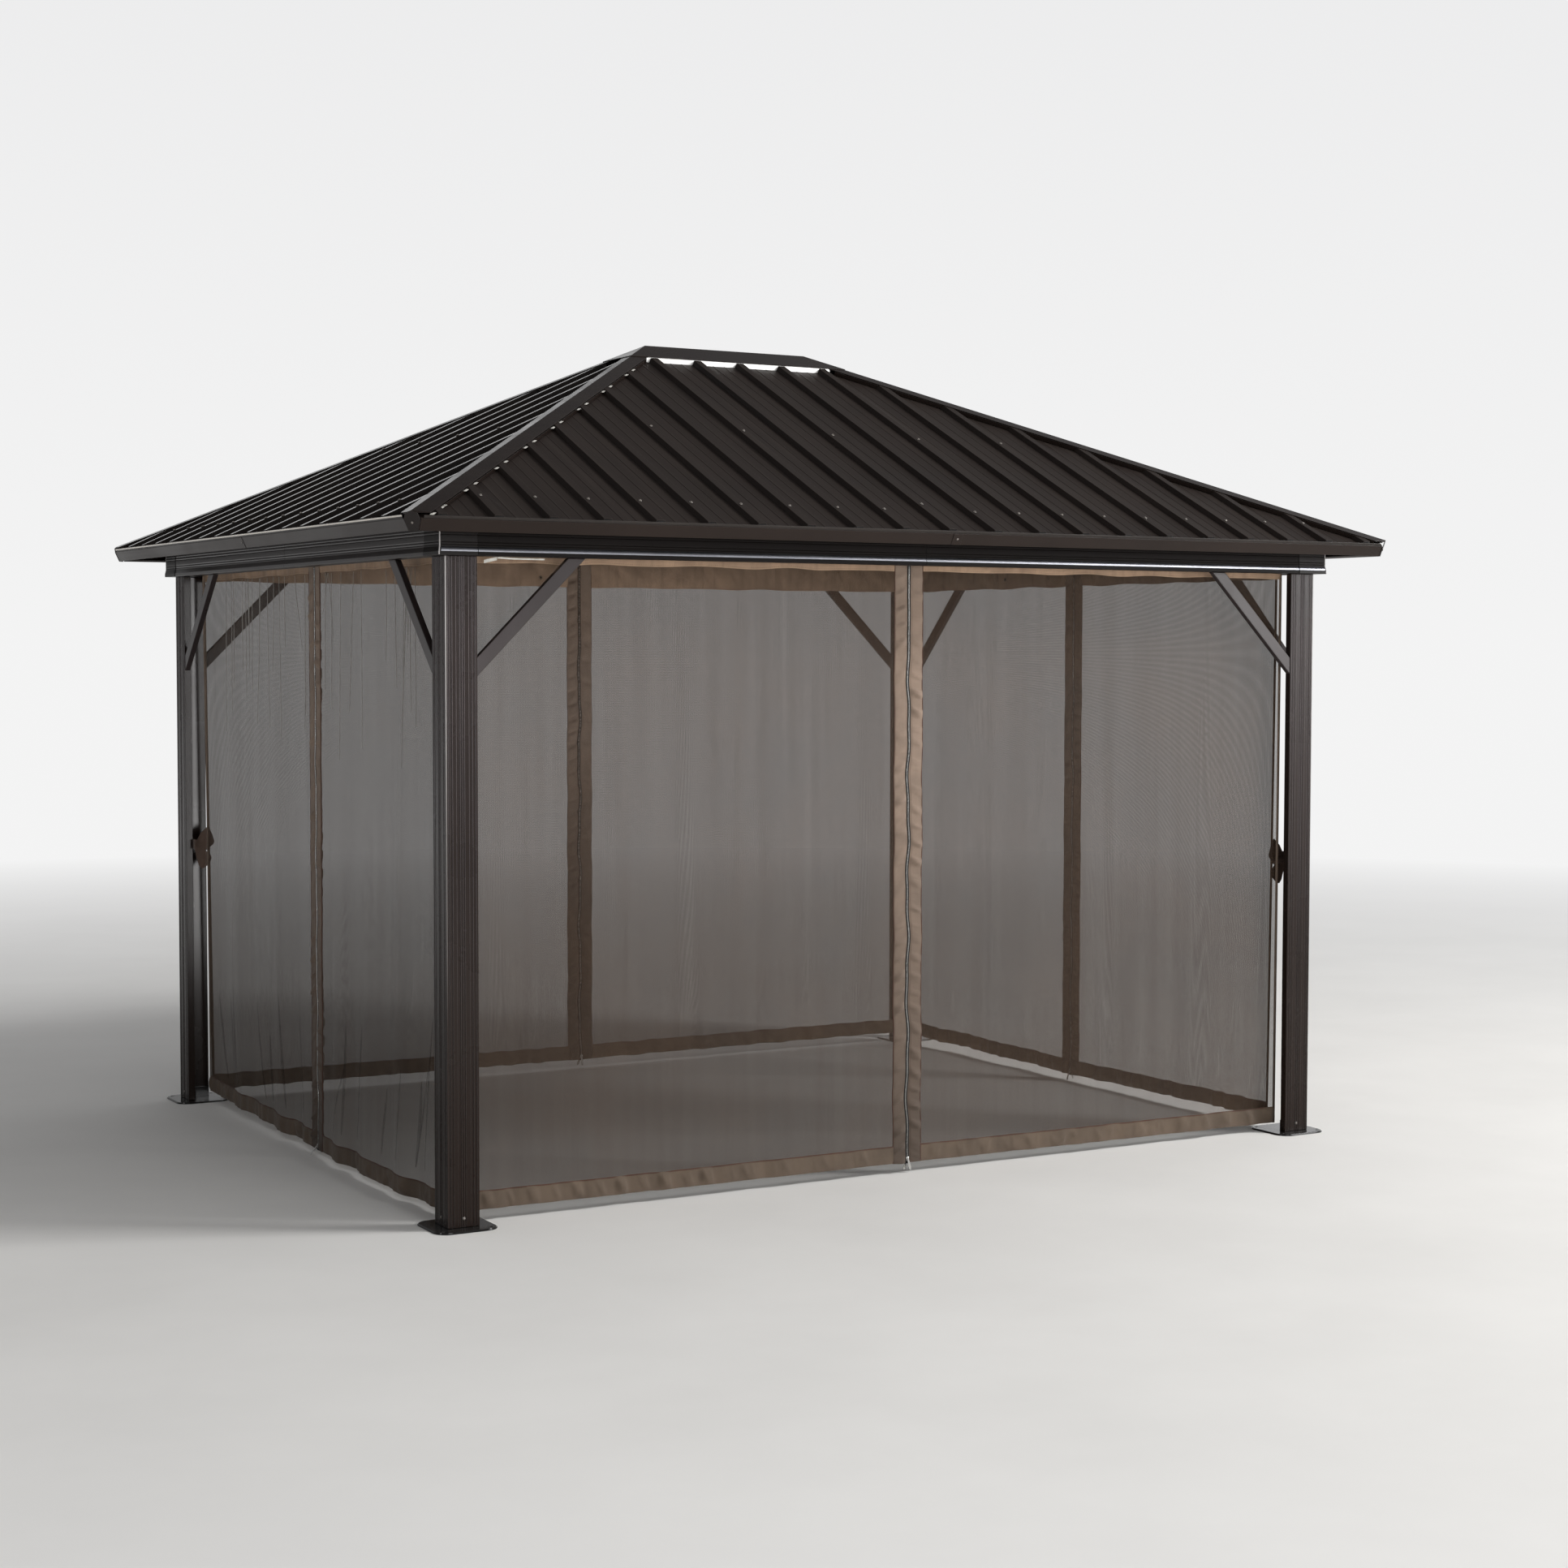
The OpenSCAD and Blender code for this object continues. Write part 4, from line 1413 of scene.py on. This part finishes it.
    def eyelets(self, finishes: Finishes) -> Object:
        """Builds the metal eyelets in the top band."""
        draft = Draft(f"eyelets_{self.name}")
        places = np.arange(0.17, self.width - 0.03, 0.3)
        z = np.full_like(places, self.top - self.eyelet_drop)
        ring = [(0.0044, -0.0017), (0.0044, 0.0017), (0.0056, 0.0026), (0.0072, 0.0024), (0.0082, 0.0013),
                (0.0082, -0.0013), (0.0072, -0.0024), (0.0056, -0.0026)]
        turn = around(24)[:, None]
        for at, normal in zip(self.surface(places, z), self.normals(places, z)):
            side = unit(np.cross(normal, UP))
            spokes = np.cos(turn) * side + np.sin(turn) * np.cross(side, normal)
            rings = np.array([[at + spoke * r + normal * h for r, h in ring] for spoke in spokes])
            draft.sheet(np.concatenate([rings, rings[:1]]), 0, wrap=True)
            draft.lathe([(0.0046, -0.00125), (0.0046, 0.00125)], at, normal, 18, 1)
        return draft.build([finishes.eyelet, finishes.rubber], "rail_metal")

    def build(self, finishes: Finishes) -> tuple[Object, list[Object]]:
        """Builds the panel.

        Args:
            finishes: the gazebo's finishes.

        Returns:
            The netting and the pieces on it.
        """
        sewn = [self.borders(finishes), self.eyelets(finishes)]
        if self.creases or self.pleats:
            sewn.append(self.fold_lines(finishes))
        return self.netting(finishes), sewn


@dataclass
class Zip:
    """The zip between the two halves of a net wall: tape, teeth, stops and a slider with two pulls."""

    side: Side
    plane: float
    low: float
    top: float = 2.0432
    tape_w: float = 0.021
    tooth_pitch: float = 0.0027
    pull_l: float = 0.036
    pull_half: float = 0.0007
    wire_r: float = 0.0007

    def at(self, s: float, out: float, z: float) -> np.ndarray:
        """A place near the zip, in the frame."""
        along = s + float(zip_sway(self.side, z))
        return self.side.along * along + self.side.out * (self.plane + out) + UP * z

    def brick(self, draft: Draft, centre: Triple, size: Triple, taper: float) -> None:
        """Adds a small metal body that narrows towards its outer faces.

        Args:
            draft: the piece.
            centre: middle, as distances along, out and up.
            size: lengths along, out and up.
            taper: width of the outer faces against the middle.
        """
        rings = []
        for out, share in ((-0.5, taper), (-0.2, 1.0), (0.2, 1.0), (0.5, taper)):
            wide, tall = size[0] * share / 2, size[2] * share / 2
            rings.append([self.at(centre[0] + a * wide, centre[1] + out * size[1], centre[2] + b * tall)
                          for a, b in ((-1, -1), (1, -1), (1, 1), (-1, 1))])
        draft.tube(np.array(rings), 1)

    def pull(self, draft: Draft, face: int, lean: float) -> None:
        """Adds a pull that hangs from the slider.

        Args:
            draft: the piece.
            face: 1 on the outer side, -1 on the inner one.
            lean: how far its lower end swings along the side.
        """
        hang = self.low + 0.012
        out = face * 0.0052
        drop = min(0.998, (hang - 0.003) / self.pull_l)
        swing = math.sqrt(1 - drop ** 2)
        outline = [(0.0, 0.0028), (0.006, 0.0034), (0.016, 0.0040), (0.027, 0.0046), (0.033, 0.0040),
                   (self.pull_l, 0.0020)]
        left = [(lean * d / self.pull_l - w, d) for d, w in outline]
        right = [(lean * d / self.pull_l + w, d) for d, w in reversed(outline)]
        rings = [[self.at(s, out + face * swing * d + deep * drop, hang - drop * d + face * swing * deep)
                  for s, d in left + right] for deep in (-self.pull_half, self.pull_half)]
        draft.tube(np.array(rings), 1)
        ring = [self.wire_r * (self.side.along * math.cos(b) + UP * math.sin(b)) for b in around(6)]
        loop = []
        for a in np.linspace(0, TURN, 17):
            centre = self.at(0.0025 * math.cos(a) * 0.6, out * 0.8 + face * 0.0028 * math.sin(a),
                             hang + 0.001 + 0.0042 * math.cos(a))
            loop.append([centre + point for point in ring])
        draft.sheet(np.array(loop), 1, wrap=True)

    def build(self, finishes: Finishes) -> Object:
        """Builds the zip.

        Args:
            finishes: the gazebo's finishes.

        Returns:
            The piece.
        """
        draft = Draft(f"zip_{self.side.label}")
        half = self.tape_w / 2
        section = [(-half, -0.0004), (-0.0012, -0.0005), (0.0012, -0.0005), (half, -0.0004), (half, 0.0003),
                   (0.0012, 0.0006), (-0.0012, 0.0006), (-half, 0.0003)]
        levels = np.linspace(self.low - 0.004, self.top, 60)
        draft.tube(np.array([[self.at(s, out, z) for s, out in section] for z in levels]), 0)
        for i, z in enumerate(np.arange(self.low + 0.018, self.top - 0.004, self.tooth_pitch)):
            self.brick(draft, (0.0008 * (1 if i % 2 else -1), 0.0, z), (0.0042, 0.0036, 0.0019), 0.72)
        for face in (1, -1):
            self.brick(draft, (0.0, face * 0.0031, self.low + 0.012), (0.0098, 0.0016, 0.0135), 0.86)
            self.brick(draft, (0.0, face * 0.0045, self.low + 0.013), (0.0030, 0.0016, 0.0080), 0.8)
        self.brick(draft, (0.0, 0.0, self.low + 0.0165), (0.0030, 0.0064, 0.0042), 0.9)
        self.pull(draft, 1, 0.009)
        self.pull(draft, -1, -0.006)
        return draft.build([finishes.tape, finishes.screw], "net_fabric")


@dataclass
class NetWalls:
    """The four net walls, each of two panels that meet at a zip."""

    finishes: Finishes
    long_w: float = 1.551
    short_w: float = 1.203
    long_plane: float = 1.230
    short_plane: float = 1.555

    def panel(self, side: Side, hand: int, seed: int) -> NetPanel:
        """Sets out one panel as it hangs in the photograph.

        Args:
            side: the wall.
            hand: sign of the panel's place along it.
            seed: seed of its folds.

        Returns:
            The panel.
        """
        width = self.long_w if side.is_long else self.short_w
        plane = self.long_plane if side.is_long else self.short_plane
        taut = NetPanel(side, hand, width, plane, 0.033, 0.036, 0.020, 0.0026, 0.0016, 0.004, seed, 0, 0)
        if side is Side.FRONT and hand > 0:
            taut.hem_far, taut.pull_in = 0.027, 0.004
        if side is Side.BACK:
            taut.fold, taut.ruffle = 0.006, 0.004
        if side is Side.RIGHT:
            taut.fold, taut.ruffle, taut.hem_near, taut.hem_far = 0.007, 0.005, 0.024, 0.034
        if side is Side.LEFT:
            taut.fold, taut.ruffle, taut.pull_in = 0.011, 0.0022, 0.030
            taut.hem_near, taut.hem_far = 0.016, (0.014 if hand > 0 else 0.042)
            taut.bulge = 0.022 if hand > 0 else 0.006
            taut.creases, taut.pleats = 17, 8
        return taut

    def build(self) -> None:
        """Builds the walls and hides the imported nets."""
        for i, side in enumerate(Side):
            node = f"net_{side.label}"
            closing = None
            for hand in (-1, 1):
                panel = self.panel(side, hand, 11 + 2 * i + (hand > 0))
                if closing is None:
                    hem = float(panel.hem_z(np.array(0.01)))
                    closing = Zip(side, panel.plane, hem).build(self.finishes)
                netting, sewn = panel.build(self.finishes)
                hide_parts(node)


@dataclass
class Tie:
    """A bow of folded cloth that ties the net ends back at a corner post."""

    corner: Corner
    middle_z: float = 0.955
    plane: float = 1.2165
    centre: float = 1.560
    cloth_t: float = 0.0009
    upper: tuple = (
        ((-36, 0, 3), (-29, 25, 7), (-12, 54, 6), (16, 78, 3)),
        ((6, -6, 15), (9, 20, 18), (11, 45, 15), (16, 76, 5)),
        ((9, -9, 6), (34, 8, 4), (40, 20, 3), (31, 48, 4), (18, 78, 3)),
    )
    lower: tuple = (
        ((-36, 0, 3), (-31, -35, 6), (-21, -68, 5), (-9, -81, 3)),
        ((3, -6, 13), (2, -33, 16), (-2, -60, 12), (-6, -80, 5)),
        ((9, -17, 6), (24, -28, 4), (29, -42, 3), (22, -59, 4), (9, -72, 4), (-4, -81, 3)),
    )

    def at(self, x: float, deep: float, z: float) -> np.ndarray:
        """A place on the tie: out from its middle, in from the net and up from its middle."""
        sx, sy = self.corner.value
        return np.array([sx * (self.centre + x), sy * (self.plane - deep), self.middle_z + z])

    def leaf(self, draft: Draft, curves: Sequence[Sequence[Triple]]) -> None:
        """Adds one folded leaf of the bow as a thin sheet of cloth.

        Args:
            draft: the piece.
            curves: the leaf's outer edge, fold and inner edge, each from the knot outwards, as millimetres
                towards the net, up and in from the net.
        """
        share = np.linspace(0, 1, 19)
        lines = []
        for curve in curves:
            steps = np.linspace(0, 1, len(curve))
            lines.append(np.stack([np.interp(share, steps, column) for column in np.array(curve).T], axis=1))
        across = np.linspace(0, 1, 6)[:, None, None]
        halves = [lines[i] + (lines[i + 1] - lines[i]) * across for i in (0, 1)]
        grid = np.concatenate([halves[0], halves[1][1:]]).transpose(1, 0, 2) / 1000
        ripple = np.sin(np.arange(grid.shape[1]) * 1.3)[None, :] * np.sin(math.pi * share)[:, None]
        grid[:, :, 2] += 0.0012 * ripple
        front, back = (np.array([[self.at(-x, deep + lift, z) for x, z, deep in row] for row in grid])
                       for lift in (self.cloth_t, -self.cloth_t))
        draft.tube(np.concatenate([front, back[:, ::-1]], axis=1))

    def build(self, finishes: Finishes) -> None:
        """Builds the tie, with its knot and the tail that holds on the post."""
        draft = Draft(f"tie_{self.corner.label}")
        self.leaf(draft, self.upper)
        self.leaf(draft, self.lower)
        knot = [[self.at(x, 0.0075 * math.cos(a), z + 0.0105 * math.sin(a) * (1 - (x / 0.024) ** 2) ** 0.5)
                 for a in around(16)]
                for x, z in zip(np.linspace(-0.020, 0.020, 9), np.linspace(-0.006, 0.006, 9))]
        draft.tube(np.array(knot))
        path = [(0.010, 0.002, 0.004), (0.026, 0.004, 0.010), (0.038, 0.006, 0.014), (0.0438, 0.011, 0.015),
                (0.0442, 0.020, 0.014), (0.0442, 0.038, 0.012)]
        section = [(-0.0007, 0.0005, -0.017), (-0.0007, 0.0005, 0.017), (0.0007, -0.0005, 0.017),
                   (0.0007, -0.0005, -0.017)]
        tail = [[self.at(x - u, deep - v, z + w) for u, v, w in section] for x, deep, z in path]
        draft.tube(np.array(tail))
        draft.lathe([(0.0058, 0.0), (0.0058, 0.0012), (0.0040, 0.0022)], self.at(0.0434, 0.028, 0.013),
                    np.array([-self.corner.value[0], 0.0, 0.0]), 16, 1)
        draft.build([finishes.tie, finishes.stud], "net_fabric")


@dataclass
class Studio:
    """A plain pale floor, soft light and the photograph's camera."""

    floor_r: float = 60.0
    eye: Triple = (-4.5305, -8.3056, 1.6858)
    yaw: float = math.radians(29.905)
    pitch: float = math.radians(-2.888)
    roll: float = math.radians(0.106)
    focal_px: float = 3211.5
    image_px: float = 1932.0
    sensor: float = 36.0
    pale: tuple[float, ...] = (0.9, 0.9, 0.9, 1.0)

    def floor(self) -> None:
        """Builds the floor, which fades to the background far from the object."""
        g = Graph("floor")
        cloud = g.noise(1.1, 4.0, 0.6)
        g.set(Base_Color=g.blend(g.span(cloud, 0.3, 0.7), linear("#eceae6"), linear("#f2f0ec")),
              Roughness=g.span(cloud, 0.3, 0.7, 0.78, 0.9), Specular_IOR_Level=0.15)
        glow = g.add("ShaderNodeEmission", self.pale)
        reach = g.add("ShaderNodeVectorMath", g.place, operation="LENGTH").outputs["Value"]
        fade = g.add("ShaderNodeMixShader", g.span(reach, 3.6, 13.0), g.shader.outputs[0], glow.outputs[0])
        g.feed(g.result, fade.outputs[0])
        turn = around(96)
        mesh = bpy.data.meshes.new("floor")
        mesh.from_pydata([(self.floor_r * math.cos(a), self.floor_r * math.sin(a), 0.0) for a in turn], [],
                         [tuple(range(len(turn)))])
        mesh.materials.append(g.material)
        floor = put("floor", mesh)

    def world(self) -> None:
        """Sets a dim surround for light, and a pale one for the camera and for what metal mirrors."""
        world = bpy.data.worlds.new("surround")
        bpy.context.scene.world = world
        n = Nodes(world)
        x, _, z = n.axes(n.add("ShaderNodeTexCoord").outputs["Generated"])
        ramp = n.add("ShaderNodeValToRGB", z)
        stops = ramp.color_ramp.elements
        stops[0].position, stops[0].color = 0.0, self.pale
        stops[1].position, stops[1].color = 0.6, (0.22, 0.225, 0.235, 1)
        stops.new(0.26).color = (0.84, 0.84, 0.845, 1)
        path = n.add("ShaderNodeLightPath").outputs
        seen = path["Is Camera Ray"]
        strength = n.math("MAXIMUM", seen, n.span(x, 0.3, 0.65, 0.38, 1.0))
        for kind in ("Is Glossy Ray", "Is Transmission Ray"):
            seen = n.math("MAXIMUM", seen, path[kind])
        sky = n.add("ShaderNodeBackground", ramp.outputs[0], strength)
        dim = n.add("ShaderNodeBackground", (1.0, 1.01, 1.035, 1), n.span(x, -0.9, 0.7, 0.16, 0.50))
        choice = n.add("ShaderNodeMixShader", seen, dim.outputs[0], sky.outputs[0])
        n.add("ShaderNodeOutputWorld", choice.outputs[0])

    def lamp(self, name: str, place: Triple, size: tuple[float, float], power: float,
             gloss_only: bool = False, aim: Triple = (0.0, 0.0, 1.3), spread: float = 180.0) -> None:
        """Adds a soft lamp.

        Args:
            name: the lamp's name.
            place: where it stands.
            size: its width and height.
            power: its power in watts.
            gloss_only: True for a lamp that only gives highlights.
            aim: the place it looks at.
            spread: how wide its light fans out, in degrees.
        """
        data = bpy.data.lights.new(name, "AREA")
        data.shape, data.energy = "RECTANGLE", power
        data.size, data.size_y = size
        data.spread = math.radians(spread)
        lamp = put(name, data)
        lamp.visible_diffuse = not gloss_only
        lamp.visible_camera = False
        lamp.location = place
        lamp.rotation_euler = (Vector(aim) - Vector(place)).to_track_quat("-Z", "Y").to_euler()

    def camera(self) -> None:
        """Places the camera where the photograph was taken from."""
        across, ahead, level = math.sin(self.yaw), math.cos(self.yaw), math.cos(self.pitch)
        forward = Vector((across * level, ahead * level, math.sin(self.pitch)))
        right = Vector((ahead, -across, 0.0))
        up = right.cross(forward)
        right, up = (right * math.cos(self.roll) + up * math.sin(self.roll),
                     up * math.cos(self.roll) - right * math.sin(self.roll))
        data = bpy.data.cameras.new("photo_camera")
        data.sensor_width, data.lens = self.sensor, self.focal_px * self.sensor / self.image_px
        data.clip_start, data.clip_end = 0.05, 200.0
        camera = put("photo_camera", data)
        turn = Matrix((right, up, -forward)).transposed().to_4x4()
        camera.matrix_world = Matrix.Translation(self.eye) @ turn
        bpy.context.scene.camera = camera

    def build(self) -> None:
        """Builds the stage."""
        bpy.context.scene.view_settings.view_transform = "Standard"
        self.floor()
        self.world()
        self.lamp("key", (7.5, -6.0, 8.0), (3.0, 3.0), 850.0)
        self.lamp("front", (7.0, -7.5, 2.8), (3.2, 3.2), 150.0)
        self.lamp("fill", (-1.0, -11.5, 2.0), (5.0, 2.4), 300.0)
        self.lamp("edge", (-9.0, -3.6, 2.4), (0.5, 4.4), 120.0, gloss_only=True)
        self.lamp("sky", (3.0, 12.0, 5.7), (8.0, 3.5), 60.0, gloss_only=True)
        self.lamp("shine", (7.0, -7.5, 3.4), (3.2, 2.2), 120.0, gloss_only=True)
        self.lamp("bounce", (0.0, -0.35, 0.03), (2.2, 0.9), 14.0, aim=(0.0, 1.25, 2.0), spread=70.0)
        self.lamp("mirror", (-0.87, -0.60, 1.22), (0.5, 1.7), 3.0, gloss_only=True, aim=(-1.58, 1.28, 1.22),
                  spread=40.0)
        self.camera()


def main() -> None:
    """Dresses the frame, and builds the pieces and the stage."""
    logging.basicConfig(level=logging.INFO, format="%(message)s")
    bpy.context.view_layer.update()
    Studio().build()
    finishes = Finishes()
    PackedNodes(finishes).dress()
    RoofDressing(finishes).build()
    FrameHardware(finishes).build()
    NetWalls(finishes).build()
    for corner in Corner:
        Tie(corner).build(finishes)
    bpy.context.view_layer.update()


if __name__ == "__main__":
    main()
